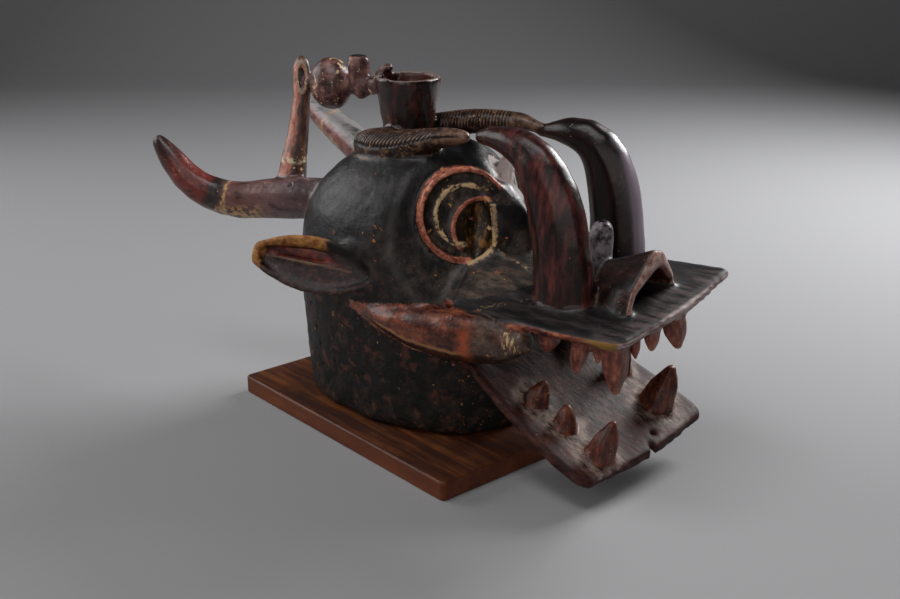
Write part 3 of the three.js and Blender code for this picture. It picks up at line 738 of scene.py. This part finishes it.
def paint_regions(carving, materials):
    """Gives each face its region's material, and each face corner its two coordinates in that region."""
    mesh = carving.data
    mesh.materials.clear()
    for name in REGIONS:
        mesh.materials.append(materials[name])
    points = to_mask(coordinates(mesh))
    store(mesh, "worn", worn_places(points))
    corners = read(mesh.loops, "vertex_index")
    starts = read(mesh.polygons, "loop_start")
    sizes = np.diff(np.append(starts, len(corners)))
    centres = np.add.reduceat(points[corners], starts) / sizes[:, None]
    region, _ = classify(centres)
    mesh.polygons.foreach_set("material_index", region.astype(np.int32))
    _, place = classify(points[corners], np.repeat(region, sizes))
    for label, values in zip("uv", place):
        store(mesh, label, values, "CORNER")
    mesh.shade_smooth()
    mesh.set_sharp_from_angle(angle=SHARP_ANGLE)


# Paint: node materials, laid on in coats

def rgb(code):
    """A linear colour from a six-digit web code."""
    parts = [int(code[k:k + 2], 16) / 255 for k in (0, 2, 4)]
    return tuple(c / 12.92 if c <= 0.04045 else ((c + 0.055) / 1.055) ** 2.4 for c in parts) + (1.0,)


class Value:
    """A number that nodes work out. Its sums, products and masks are nodes too, and a | b is the larger."""

    def __init__(self, paint, socket):
        self.paint, self.socket = paint, socket

    def math(self, operation, *others):
        return self.paint.math(operation, self, *others)

    def __add__(self, other):
        return self.math("ADD", other)

    def __radd__(self, other):
        return self.paint.math("ADD", other, self)

    def __sub__(self, other):
        return self.math("SUBTRACT", other)

    def __mul__(self, other):
        return self.math("MULTIPLY", other)

    def __or__(self, other):
        return self.math("MAXIMUM", other)

    def mask(self, low, high):
        """0 below `low`, 1 above `high`, or the other way round where low is the larger."""
        return self.paint.value("ShaderNodeMapRange", "Result", {"interpolation_type": "SMOOTHSTEP"},
                                Value=self, **{"From Min": low, "From Max": high})

    def band(self, low, high, soft):
        return self.mask(low - soft, low + soft) * self.mask(high + soft, high - soft)

    def uneven(self, size, reach, shift=0.0):
        """Shifted up and down by noise, for borders that wander."""
        return self + (self.paint.noise(size, 3.0, 0.6, shift) - 0.5) * (2 * reach)

    def ragged(self, size, reach, low, high):
        """A mask whose border wanders."""
        return self.uneven(size, reach).mask(low, high)


class Paint:
    """One node material and its colour so far. Sizes are in mm, in the mask's own frame."""

    def __init__(self, name, stops=None, *noise, turn=TURN):
        self.material = bpy.data.materials.new(name)
        self.material.use_nodes = True
        self.tree = self.material.node_tree
        self.shader = self.tree.nodes["Principled BSDF"]
        coords = self.tree.nodes.new("ShaderNodeTexCoord")
        turned = self.turned(coords.outputs["Object"], turn)
        self.place = self.vector("MULTIPLY", turned, (1 / MM,) * 3)
        self.out = self.turned(coords.outputs["Normal"], turn)
        self.colour = self.mottle(stops, *noise) if stops else None

    def turned(self, vector, turn):
        return self.node("ShaderNodeVectorRotate", {"rotation_type": "Z_AXIS"},
                         Vector=vector, Angle=-turn).outputs[0]

    def node(self, kind, settings=None, **inputs):
        made = self.tree.nodes.new(kind)
        for key, value in (settings or {}).items():
            setattr(made, key, value)
        for key, value in inputs.items():
            self.plug(made.inputs[key], value)
        return made

    def value(self, kind, output, settings=None, **inputs):
        return Value(self, self.node(kind, settings, **inputs).outputs[output])

    def plug(self, socket, value):
        value = getattr(value, "socket", value)
        if isinstance(value, bpy.types.NodeSocket):
            self.tree.links.new(value, socket)
        else:
            socket.default_value = value

    def vector(self, operation, a, b):
        made = self.node("ShaderNodeVectorMath", {"operation": operation})
        self.plug(made.inputs[0], a)
        self.plug(made.inputs[1], b)
        return made.outputs[0]

    def math(self, operation, *values):
        made = self.node("ShaderNodeMath", {"operation": operation})
        for socket, value in zip(made.inputs, values):
            self.plug(socket, value)
        return Value(self, made.outputs[0])

    def attribute(self, name):
        return self.value("ShaderNodeAttribute", "Fac", {"attribute_name": name})

    def axis(self, k):
        return self.value("ShaderNodeSeparateXYZ", k, Vector=self.place)

    def facing(self, k):
        """How far the skin faces along an axis of the mask, from -1 to 1."""
        return self.value("ShaderNodeSeparateXYZ", k, Vector=self.out)

    def noise(self, size, detail=2.0, roughness=0.55, shift=0.0):
        """Noise whose lumps measure `size` mm: one number, or one for each axis."""
        sizes = size if isinstance(size, tuple) else (size,) * 3
        scaled = self.vector("DIVIDE", self.place, sizes)
        moved = self.vector("ADD", scaled, (shift, 2 * shift, 3 * shift))
        return self.value("ShaderNodeTexNoise", "Fac", Vector=moved, Scale=1.0, Detail=detail,
                          Roughness=roughness)

    def patches(self, low, high, *noise):
        """Clouds of the given noise, cut off between two of its levels."""
        return self.noise(*noise).mask(low, high)

    def ramp(self, value, stops):
        """Colours by value. The stops give a web code for each place."""
        made = self.node("ShaderNodeValToRGB", Fac=value)
        elements = made.color_ramp.elements
        while len(elements) < len(stops):
            elements.new(0.5)
        for element, (place, code) in zip(elements, stops.items()):
            element.position = place
            element.color = rgb(code)
        return made.outputs["Color"]

    def mottle(self, stops, size, detail=5.0, roughness=0.6, shift=0.0):
        return self.ramp(self.noise(size, detail, roughness, shift), stops)

    def over(self, under, code, *amounts):
        """Lays a colour over another by the product of the amounts."""
        made = self.node("ShaderNodeMix", {"data_type": "RGBA", "clamp_factor": True})
        self.plug(made.inputs[0], math.prod(amounts[1:], start=amounts[0]))
        self.plug(made.inputs[6], under)
        self.plug(made.inputs[7], rgb(code) if isinstance(code, str) else code)
        return made.outputs[2]

    def coat(self, code, *amounts):
        self.colour = self.over(self.colour, code, *amounts)

    def flecks(self, code, rare, size=2.4, patch=22, shift=0.0):
        """Small spots where the paint is gone, thicker in patches. The higher `rare`, the fewer they are."""
        middle, spread = 0.8, 0.105
        spots = self.noise(size, 2.0, 0.6, shift)
        patches = self.noise(patch, 2.0, 0.5, shift + 4)
        above = spots + patches * 0.6 - self.math("MULTIPLY_ADD", rare, spread, middle)
        self.coat(code, above.mask(0.0, 0.035))

    def wear(self, code, start, full, strength, patch=7, reach=0.8):
        """Rubs the paint off what stands out, unevenly."""
        self.coat(code, self.attribute("edge").ragged(patch, reach, start, full), strength)

    def dust_and_fold_shade(self, code, start=-0.6, full=-1.4, strength=0.6):
        """Colours the folds: pale codes lay dust there, dark codes paint shade into them."""
        self.coat(code, self.attribute("edge").uneven(6, 0.7, 3).mask(start, full), strength)

    def worn_lines(self, code, strength=0.9):
        worn = self.attribute("worn").uneven(3.2, 0.7, 6).uneven(9, 0.5, 12)
        self.coat(code, worn.mask(0.45, 0.85), strength)

    def skin(self, grain=(1.6, 16, 1.6)):
        """Fine grain, small dents and knife facets, as one height."""
        fine = self.noise(grain, 3.0, 0.6, 7)
        dents = self.noise(4.5, 3.0, 0.6, 9)
        knife = self.noise(13, 1.0, 0.5, 11)
        return fine * 0.45 + dents * 0.8 + knife * 1.5

    def open_grain(self):
        """Long grain that the weather has opened, with shallow waves across it."""
        fine = self.noise((1.2, 60, 1.2), 4.0, 0.65, 7)
        broad = self.noise((5, 90, 5), 3.0, 0.6, 9)
        waves = self.noise(30, 2.0, 0.5, 11)
        return fine + broad * 1.4 + waves * 2.0

    def finish(self, rough, bump_mm, shine=0.5, bump=None):
        self.shader.inputs["Specular IOR Level"].default_value = shine
        self.plug(self.shader.inputs["Base Color"], self.colour)
        self.plug(self.shader.inputs["Roughness"], rough)
        bump = bump or self.skin()
        made = self.node("ShaderNodeBump", Height=bump, Distance=bump_mm * MM, Strength=1.0)
        self.plug(self.shader.inputs["Normal"], made.outputs["Normal"])
        return self.material


def helmet_paint():
    paint = Paint("helmet_black", {0.3: "080708", 0.48: "121011", 0.6: "1e191a", 0.75: "302825"}, 40)
    y, z = paint.axis(1), paint.axis(2)
    collar = z.ragged(34, 42, 200, 140)
    near_cheek = y.mask(40, -60) * z.mask(262, 200)
    snout = y.mask(-84, -112) * z.mask(214, 186)
    paint.coat("54463e", paint.patches(0.42, 0.66, 24, 5.0, 0.65, 3), near_cheek, 0.75)
    veins = {0.32: "12100f", 0.46: "332c28", 0.56: "5c4c40", 0.7: "86705a"}
    paint.coat(paint.mottle(veins, (9, 26, 9), 6.0, 0.72, 5), snout, 0.8)
    bare = {0.34: "0b0908", 0.48: "17110e", 0.58: "2c1d16", 0.68: "4e3222", 0.82: "6e482e"}
    paint.coat(paint.mottle(bare, 13, 5.0, 0.7, 2), collar, 0.9)
    paint.coat("0b0f0c", paint.patches(0.47, 0.6, 22, 3.0, 0.6, 9), collar)
    paint.coat("4b2a22", paint.patches(0.56, 0.68, 19, 3.0, 0.6, 13), collar)
    fewer = collar * -0.3 + near_cheek * -0.5
    paint.flecks("7d4426", 2.9 + fewer, 9.0, 34)
    paint.flecks("a5683a", 3.2 + fewer, 5.0, 30, 5)
    paint.flecks("cfa874", 3.5 + fewer, 3.0, 24, 11)
    paint.worn_lines("b59474", 0.8)
    paint.wear("4a3026", 0.9, 2.0, 0.5)
    paint.dust_and_fold_shade("6a523e", -0.9, -2.2, 0.5)
    rough = 0.34 + collar * 0.2 + paint.noise(9, 3.0, 0.6, 5) * 0.14
    return paint.finish(rough, 0.45, 0.33)


def hollow_paint():
    brown = {0.3: "1c120c", 0.5: "38251a", 0.75: "5a3d29"}
    return Paint("hollow_wood", brown, (8, 60, 8), 4.0, 0.55).finish(0.75, 0.6)


def eye_paint():
    """Rings round the eye's middle, an inner ring round a middle of its own, and the leaf inside that."""
    black = {0.3: "0d0b0b", 0.46: "221c1a", 0.6: "453a33", 0.76: "75624f"}
    paint = Paint("eye_rings", black, (9, 9, 15), 6.0, 0.7)
    u, v = paint.attribute("u"), paint.attribute("v")
    turn = v.math("RADIANS")
    a = u * turn.math("COSINE") + 17.0
    b = u * turn.math("SINE") + 14.0
    inner_u = (a * a + b * b).math("SQRT")
    inner_v = b.math("ARCTAN2", a)
    outer = u.uneven(9, 1.4).band(42.6, 48.4, 0.6) * v.band(-96, 147, 3)
    thin = u.uneven(5, 2.6).band(27.4, 31.8, 0.8) * v.band(-92, 120, 8)
    inner = inner_u.uneven(7, 0.9).band(27.4, 31.8, 0.5) * inner_v.band(-0.75, 1.85, 0.1)
    leaf = {0.35: "120d0a", 0.52: "2e2013", 0.66: "8a5e2a"}
    paint.coat(paint.mottle(leaf, (6, 6, 14), 4.0, 0.6, 2), inner_u.mask(27, 23))
    pink = paint.mottle({0.3: "3a1d17", 0.42: "8a4a39", 0.54: "c0735b", 0.7: "dc9879"}, 6, 5.0, 0.7, 3)
    paint.coat(pink, outer)
    paint.coat(pink, inner)
    far_side = paint.axis(0).mask(-2, 2)
    # Painted sheen: the far eye's rings are greyed where the near eye's stay salmon.
    paint.coat("a39d9c", far_side, 0.85, u.mask(24, 30))
    paint.coat("d6b48a", thin, paint.patches(0.42, 0.5, 9, 5.0, 0.7, 8))
    paint.worn_lines("cfae7e")
    paint.flecks("c0894e", 1.9, 4.5, 20, 2)
    paint.coat("0b0909", u.mask(49.5, 51))
    # Painted shade: darkens the eye's folds and cuts.
    paint.dust_and_fold_shade("120d0c", -0.4, -1.1, 0.7)
    return paint.finish(0.36, 0.45, 0.35)


def plank_up_paint():
    paint = Paint("upper_jaw")
    y, x, up = paint.attribute("u"), paint.attribute("v"), paint.facing(2)
    streak = paint.noise((8, 42, 8), 6.0, 0.7)
    paint.colour = paint.ramp(streak, {0.3: "0a0909", 0.48: "171415", 0.6: "2e2829", 0.78: "4f4644"})
    # Grey over the front third of the top: worn paint, and a painted sheen there.
    paint.coat("6e5e5c", y.ragged(26, 24, -256, -292), streak.mask(0.34, 0.74), 0.5)
    at_edge = x.math("ABSOLUTE").mask(70, 78) | y.mask(-288, -294)
    upright = up.mask(0.72, 0.4) * at_edge
    red = {0.34: "1d0d0a", 0.46: "5a2a1d", 0.58: "96503a", 0.72: "b97e5a"}
    paint.coat(paint.mottle(red, (7, 14, 5), 5.0, 0.65, 5), upright)
    corner = y.band(-297, -262, 8) * x.mask(-70, -84)
    paint.coat("8a6a2e", upright * corner, 0.8)
    front_edge = upright * y.mask(-292, -298) | y.ragged(9, 2, -302, -307)
    lilac = {0.35: "5d4848", 0.5: "94827f", 0.68: "b8a8a8"}
    paint.coat(paint.mottle(lilac, (16, 6, 3), 4.0, 0.6, 6), front_edge)
    paint.coat("2a1712", up.mask(-0.5, -0.7), 0.8)
    paint.wear("9a8480", 0.9, 2.2, 0.5, 22, 0.5)
    paint.worn_lines("a88a68", 0.6)
    paint.dust_and_fold_shade("8a6c52", -0.6, -1.5, 0.6)
    paint.flecks("a8744a", 2.8, 3.0, 24, 1)
    arris = y.mask(-294, -303)
    rough = 0.26 + streak * 0.3 + arris * 0.3
    return paint.finish(rough, 0.07, 0.35, paint.open_grain())


def plank_low_paint():
    paint = Paint("lower_jaw")
    y, x = paint.attribute("u"), paint.attribute("v")
    streak = paint.noise((2.4, 95, 2.4), 6.0, 0.7) * 0.6 + paint.noise((22, 60, 22), 4.0, 0.6, 19) * 0.4
    brown = {0.36: "120a09", 0.45: "2e1c19", 0.53: "4f3731", 0.61: "735850", 0.74: "9c8074"}
    paint.colour = paint.ramp(streak, brown)
    border = x.ragged(24, 20, -40, -68) | y.ragged(20, 12, -236, -262)
    red = paint.mottle({0.3: "160908", 0.5: "361815", 0.7: "5c342d"}, (9, 30, 9), 5.0, 0.65, 4)
    paint.coat(red, border, 0.85)
    paint.coat(red, paint.facing(2).math("ABSOLUTE").mask(0.7, 0.45), 0.8)
    bare = paint.attribute("worn").ragged(26, 0.7, 0.2, 0.95)
    paint.coat("bda699", bare, paint.patches(0.34, 0.66, (7, 44, 7), 4.0, 0.7, 21), 0.55)
    gouges = paint.patches(0.6, 0.66, (2.2, 26, 2.2), 3.0, 0.6, 15)
    paint.coat("0f0a09", gouges, paint.patches(0.5, 0.6, 34, 2.0, 0.5, 16), 0.85)
    paint.wear("7e5f55", 1.0, 2.0, 0.5)
    paint.flecks("b5835a", 2.6, 3.0, 20, 3)
    return paint.finish(0.42 + streak * 0.25, 0.3, 0.2, paint.open_grain())


def tooth_paint(name, dark, mid, light):
    paint = Paint(name, {0.3: dark, 0.5: mid, 0.74: light}, (6, 6, 15))
    paint.wear(light, 0.8, 1.6, 0.6)
    paint.flecks("c98a60", 2.2, 2.2, 14, 5)
    # Painted shade: darkens the folds round the teeth.
    paint.dust_and_fold_shade("241310", -0.6, -1.3, 0.5)
    return paint.finish(0.42, 0.45, bump=paint.skin((1.5, 1.5, 9)))


def cheek_paint():
    red = {0.3: "1d0e0c", 0.43: "48231c", 0.54: "74402f", 0.66: "9a5233", 0.8: "b27a50"}
    paint = Paint("cheek_red", red, (12, 22, 12), 6.0, 0.7)
    u, v, up = paint.attribute("u"), paint.attribute("v"), paint.facing(2)
    dull = paint.mottle({0.34: "231b18", 0.5: "463932", 0.68: "6e5c4e"}, (9, 16, 9), 6.0, 0.7, 6)
    paint.coat(dull, u.ragged(12, 0.05, 0.7, 0.76), 0.8)
    ring = u.uneven(9, 0.03).band(0.665, 0.72, 0.02)
    paint.coat("a04c2c", ring * 0.85, v.mask(0.7, 0.2))
    scratches = paint.patches(0.53, 0.6, (2.5, 2.5, 12), 3.0, 0.6, 8)
    paint.coat("c9a878", scratches, u.band(0.9, 0.97, 0.02))
    # Painted shade: darkens the faces turned downward, under the cheek.
    paint.coat("1a0f0c", up.ragged(14, 0.2, -0.35, -0.6), 0.8)
    line = up.uneven(9, 0.16).band(-0.42, -0.22, 0.07)
    paint.coat("b07a48", line * 0.7, u.band(0.16, 0.66, 0.06))
    paint.flecks("c48a58", 2.4, 3.6, 20, 2)
    paint.wear("a87850", 0.8, 1.6, 0.4)
    return paint.finish(0.18 + paint.noise(16, 3.0, 0.6, 5) * 0.2, 0.4)


def tusk_paint():
    red = {0.3: "0f0808", 0.45: "231110", 0.56: "45201f", 0.67: "63302b", 0.82: "7c473c"}
    paint = Paint("tusk_red", red, (9, 9, 34))
    u = paint.attribute("u")
    far = paint.axis(0).mask(-2, 2)
    # Painted shade: the far tusk is darkened on its faces turned to -x.
    paint.coat("0c0707", far * paint.facing(0).mask(0.5, -0.2), 0.85)
    # Painted highlight: lilac on the far tusk's faces turned to the front.
    paint.coat("a194a0", paint.facing(1).mask(-0.5, -0.95), far * 0.8)
    paint.coat("2c1c17", u.mask(0.16, 0.02), 0.5)
    tip = u.ragged(14, 0.05, 0.8, 0.9)
    paint.coat("2a1710", tip, 0.7)
    paint.wear("80564e", 1.0, 2.0, 0.5)
    paint.flecks("b97a4c", 2.7 + tip * -0.8, 3.4, 26, 8)
    paint.dust_and_fold_shade("9a7450", -0.7, -1.6, 0.6)
    return paint.finish(0.3, 0.25, 0.33, paint.skin((1.8, 1.8, 14)))


def horn_paint():
    """Bands along the near horn. The far one, up to its tip, is grey above, a painted sheen on its lit top,
    and dark red below, darkened as painted shade.
    """
    paint = Paint("horn_bands")
    u, v = paint.attribute("u"), paint.attribute("v")
    along = u.uneven(12, 0.016)
    across = v.uneven(12, 0.25)
    near = paint.ramp(along, {
        0.0: "3a2c2c", 0.2: "5c4648", 0.34: "745452", 0.48: "63403a", 0.54: "74504a", 0.575: "3a2c2c",
        0.62: "241d1e", 0.66: "6e2c25", 0.84: "74332c", 0.9: "3a1a17", 1.0: "26120f",
    })
    far = paint.mottle({0.35: "5a2a26", 0.55: "8a5650", 0.75: "b08a82"}, 12, 4.0, 0.6, 4)
    # Painted sheen on the far horn's top, painted shade on its underside.
    far = paint.over(far, "918d8e", across.mask(0.3, 0.6))
    far = paint.over(far, "451712", across.mask(-0.25, -0.6))
    far_side = paint.axis(0).mask(-6, 6) * along.mask(0.94, 0.88)
    paint.colour = paint.over(near, far, far_side)
    tone = paint.noise((8, 26, 8), 6.0, 0.65, 2)
    paint.coat("110b0b", tone.mask(0.5, 0.32), 0.75)
    # Painted highlight: pale mauve streaks laid by noise.
    paint.coat("a87a72", tone.mask(0.56, 0.72), 0.55)
    ring = u.uneven(7, 0.02).band(0.53, 0.55, 0.008) * paint.patches(0.42, 0.52, 6, 4.0, 0.7, 9)
    below = v.mask(0.0, -0.5) * u.band(0.36, 0.6, 0.05)
    cream = below * paint.patches(0.46, 0.54, 6, 5.0, 0.7, 4)
    paint.coat("c9a06c", ring | cream, 0.9)
    paint.flecks("c99a62", 2.3, 3.4, 22, 5)
    paint.wear("a07a70", 0.8, 1.6, 0.4)
    return paint.finish(0.32, 0.45)


def ear_paint():
    """A dark ear with a red fold along its middle, a black brow and a raw orange edge and tip."""
    dark = {0.32: "110a0a", 0.46: "251716", 0.58: "3d2724", 0.74: "5f4238"}
    paint = Paint("ear_wood", dark, 7, 6.0, 0.7)
    u, v = paint.attribute("u"), paint.attribute("v") * -1.0
    upper = u.mask(0.22, 0.52).math("MULTIPLY_ADD", 0.44, 0.06)
    fold = v.ragged(9, 0.06, 0.01, 0.11) * (upper - v).mask(-0.04, 0.04)
    deep = {0.34: "150504", 0.5: "4a150d", 0.68: "7d2e1b"}
    paint.coat(paint.mottle(deep, (8, 24, 8), 5.0, 0.6, 4), fold)
    brow = v.ragged(8, 0.05, 0.5, 0.58)
    paint.coat("120d0b", brow)
    raw = brow * u.ragged(9, 0.06, 0.4, 0.5) | u.ragged(8, 0.03, 0.91, 0.94)
    orange = {0.34: "4e2c16", 0.46: "8f5a2b", 0.6: "b98145", 0.75: "cf9c62"}
    paint.coat(paint.mottle(orange, (7, 12, 7), 5.0, 0.65, 4), raw)
    paint.coat("70503f", v.uneven(7, 0.05).band(-0.02, 0.06, 0.04), 0.6)
    paint.wear("8f6444", 0.8, 1.6, 0.5)
    return paint.finish(0.46, 0.5, 0.35)


def cup_paint():
    dark = {0.32: "0f0a0a", 0.48: "241311", 0.6: "3f1f1a", 0.76: "65392e"}
    paint = Paint("cup_wood", dark, (8, 8, 22), 5.0, 0.65)
    z = paint.axis(2)
    paint.coat("5e352b", paint.axis(0).ragged(14, 8, 2, 20), 0.6)
    rim = paint.facing(2).mask(0.55, 0.85) * z.mask(356, 361)
    paint.coat("8c7a74", rim, 0.8)
    paint.flecks("c08a58", 2.9 + z.mask(314, 306) * -0.9, 3.0, 16, 3)
    paint.wear("84706c", 0.9, 1.7, 0.6)
    return paint.finish(0.26, 0.45, bump=paint.skin((1.8, 1.8, 14)))


def lizard_paint():
    dark = {0.3: "0d0706", 0.48: "1d0f0d", 0.62: "341d17", 0.78: "523629"}
    paint = Paint("lizard_wood", dark, (8, 18, 8), 5.0, 0.65)
    paint.wear("8a6a56", 0.4, 1.0, 0.7)
    # Painted shade: darkens the grooves of the knife strokes.
    paint.dust_and_fold_shade("060303", -0.1, -0.5, 0.9)
    ledge = paint.attribute("v").mask(0.15, -0.05) * paint.axis(0).mask(0, -5)
    paint.coat("7a5838", ledge * paint.patches(0.5, 0.64, (6, 12, 6), 5.0, 0.7, 4), 0.6)
    paint.flecks("b98a60", 2.2, 3.0, 18, 2)
    return paint.finish(0.34, 0.3, 0.35)


def bird_paint():
    mauve = {0.32: "1e1010", 0.45: "432725", 0.56: "6e4843", 0.72: "966c62"}
    paint = Paint("bird_wood", mauve, 11, 6.0, 0.7)
    paint.flecks("d2b48c", 1.7, 6.0, 18, 2)
    paint.wear("97796c", 0.9, 1.7, 0.6)
    # Painted shade: darkens the bird's folds.
    paint.dust_and_fold_shade("3a1512", -0.4, -1.0, 0.7)
    return paint.finish(0.34, 0.6)


def tail_paint():
    paint = Paint("tail_wood")
    tone = paint.noise((7, 7, 30), 6.0, 0.7)
    side = paint.facing(0)
    paint.colour = paint.ramp(tone, {0.3: "160b0a", 0.44: "38201a", 0.56: "5a3b2f", 0.74: "84634e"})
    salmon = paint.ramp(tone, {0.3: "4a2019", 0.43: "93503f", 0.56: "b57562", 0.74: "c99c8a"})
    # Painted light: salmon on the faces turned to -x, the tail's lit side.
    paint.coat(salmon, side.ragged(10, 0.35, -0.72, -0.95))
    # Painted shade: dark grey on the faces turned to +x.
    paint.coat("2a2224", side.mask(0.1, 0.5), 0.8)
    patch = paint.axis(2).uneven(8, 6).band(258, 265, 2)
    paint.coat("cdbb98", patch, paint.patches(0.47, 0.54, 7, 5.0, 0.7, 6))
    paint.worn_lines("a88f78", 0.75)
    paint.flecks("d9bd92", 1.9, 5.0, 20, 3)
    paint.wear("a8806c", 0.9, 1.7, 0.5)
    return paint.finish(0.38, 0.5, bump=paint.skin((1.8, 1.8, 12)))


def hood_paint():
    """The nostril hood with its pale front rim, and the knob between the tusks."""
    dark = {0.34: "0c0707", 0.5: "1d1110", 0.62: "38221c", 0.78: "5c4339"}
    paint = Paint("hood_wood", dark, (9, 24, 9), 6.0, 0.65)
    y = paint.axis(1)
    paint.coat("aaa0a8", y.mask(-228, -219), paint.patches(0.3, 0.6, 11, 4.0, 0.7, 8), 0.8)
    pink = paint.mottle({0.35: "8a5a50", 0.5: "bb9186", 0.68: "d6bcb2"}, 6, 4.0, 0.65, 4)
    paint.coat(pink, paint.facing(1).mask(-0.38, -0.62), y.mask(-264, -271), 0.9)
    paint.coat("4a1c16", paint.facing(2).mask(0.0, -0.3), y.mask(-290, -275), 0.7)
    paint.wear("8a6f66", 1.0, 1.8, 0.6)
    paint.dust_and_fold_shade("9a7654", -0.7, -1.6, 0.65)
    paint.flecks("b5794c", 2.4, 3.0, 20, 2)
    return paint.finish(0.36, 0.4, 0.33)


def board_paint():
    """Red-brown varnish over wood whose grain runs along the board."""
    figure = {0.28: "27110a", 0.45: "45200f", 0.58: "673818", 0.78: "8a5426"}
    paint = Paint("varnished_board", figure, (13, 150, 13), turn=0.0)
    pores = paint.noise((0.9, 22, 0.9), 3.0, 0.6, 5)
    paint.coat("1f0f09", pores.mask(0.56, 0.7), 0.6)
    paint.coat("2a140d", paint.patches(0.42, 0.66, 60, 4.0, 0.6, 8), 0.55)
    # Painted light: the board's sides are lighter and warmer than its top.
    paint.coat("74371a", paint.facing(2).mask(0.9, 0.4), 0.5)
    rough = 0.42 + paint.noise(24, 3.0, 0.6, 3) * 0.2
    return paint.finish(rough, 0.2, 0.35, pores)


def carving_paints():
    """One material for each region."""
    return {
        "helmet": helmet_paint(), "hollow": hollow_paint(), "eye": eye_paint(), "plank_up": plank_up_paint(),
        "plank_low": plank_low_paint(), "tooth_up": tooth_paint("upper_teeth", "33130e", "6a3024", "ab6a52"),
        "tooth_low": tooth_paint("lower_teeth", "240e0b", "552519", "8f543c"), "cheek": cheek_paint(),
        "tusk": tusk_paint(), "horn": horn_paint(), "ear": ear_paint(), "cup": cup_paint(),
        "lizard": lizard_paint(), "bird": bird_paint(), "tail": tail_paint(), "hood": hood_paint(),
    }


# Stage, lights and camera

def stage_paint(name, code, rough):
    paint = Paint(name, turn=0.0)
    paint.shader.inputs["Base Color"].default_value = rgb(code)
    paint.shader.inputs["Roughness"].default_value = rough
    return paint.material


def sweep():
    """A pale floor that bends up into a backdrop behind the work."""
    view = math.radians(VIEW["turn"])
    depth, rise, bend, width, parts = 2.2, 2.4, 0.9, 9.0, 14
    profile = [(-4.0, 0.0), (depth, 0.0)]
    profile += [(depth + bend * math.sin(t), bend * (1 - math.cos(t)))
                for t in np.linspace(0, math.pi / 2, parts)[1:]]
    profile += [(depth + bend, rise)]
    ahead = Vector((math.sin(view), math.cos(view), 0))
    right = Vector((math.cos(view), -math.sin(view), 0))
    verts = [ahead * d + right * side * width / 2 + Vector((0, 0, h)) for d, h in profile for side in (-1, 1)]
    faces = [(2 * k, 2 * k + 1, 2 * k + 3, 2 * k + 2) for k in range(len(profile) - 1)]
    mesh = bpy.data.meshes.new("backdrop")
    mesh.from_pydata(verts, [], faces)
    mesh.shade_smooth()
    mesh.materials.append(stage_paint("backdrop_grey", "9a9a9c", 0.9))
    backdrop = bpy.data.objects.new("backdrop", mesh)
    bpy.context.scene.collection.objects.link(backdrop)


def softbox(name, place, aim, size, power, colour=(1, 1, 1)):
    light = bpy.data.lights.new(name, "AREA")
    light.shape = "RECTANGLE"
    light.size, light.size_y = size
    light.energy = power
    light.color = colour
    lamp = bpy.data.objects.new(name, light)
    lamp.location = place
    lamp.rotation_euler = (Vector(aim) - Vector(place)).to_track_quat("-Z", "Y").to_euler()
    bpy.context.scene.collection.objects.link(lamp)


def lights():
    middle = (0, -0.05, 0.2)
    softbox("right_back", (1.6, -0.15, 1.15), middle, (0.8, 0.8), 40)
    softbox("left_back", (-0.9, 1.5, 0.95), middle, (1.5, 1.1), 16)
    softbox("overhead", (-0.6, -0.1, 1.6), middle, (0.9, 0.5), 7)
    softbox("front", (-1.9, -1.2, 1.0), middle, (2.2, 1.6), 13, (1.0, 0.95, 0.9))
    world = bpy.data.worlds.new("studio")
    world.use_nodes = True
    world.node_tree.nodes["Background"].inputs["Color"].default_value = (0.5, 0.52, 0.56, 1)
    world.node_tree.nodes["Background"].inputs["Strength"].default_value = 0.06
    bpy.context.scene.world = world
    bpy.context.scene.view_settings.view_transform = "Standard"


def camera():
    lens = bpy.data.cameras.new("view")
    lens.sensor_width = VIEW["sensor"]
    lens.lens = VIEW["lens"]
    eye_point = bpy.data.objects.new("view", lens)
    eye_point.location = VIEW["at"]
    eye_point.rotation_euler = (math.radians(90 - VIEW["down"]), 0, math.radians(-VIEW["turn"]))
    bpy.context.scene.collection.objects.link(eye_point)
    bpy.context.scene.camera = eye_point


camera()
lights()
sweep()

carving = fine_carving(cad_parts["carved_mask"])
paint_regions(carving, carving_paints())
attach(carving, "root")
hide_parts("carved_mask")

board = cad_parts["plinth"]
board.data.materials.clear()
board.data.materials.append(board_paint())
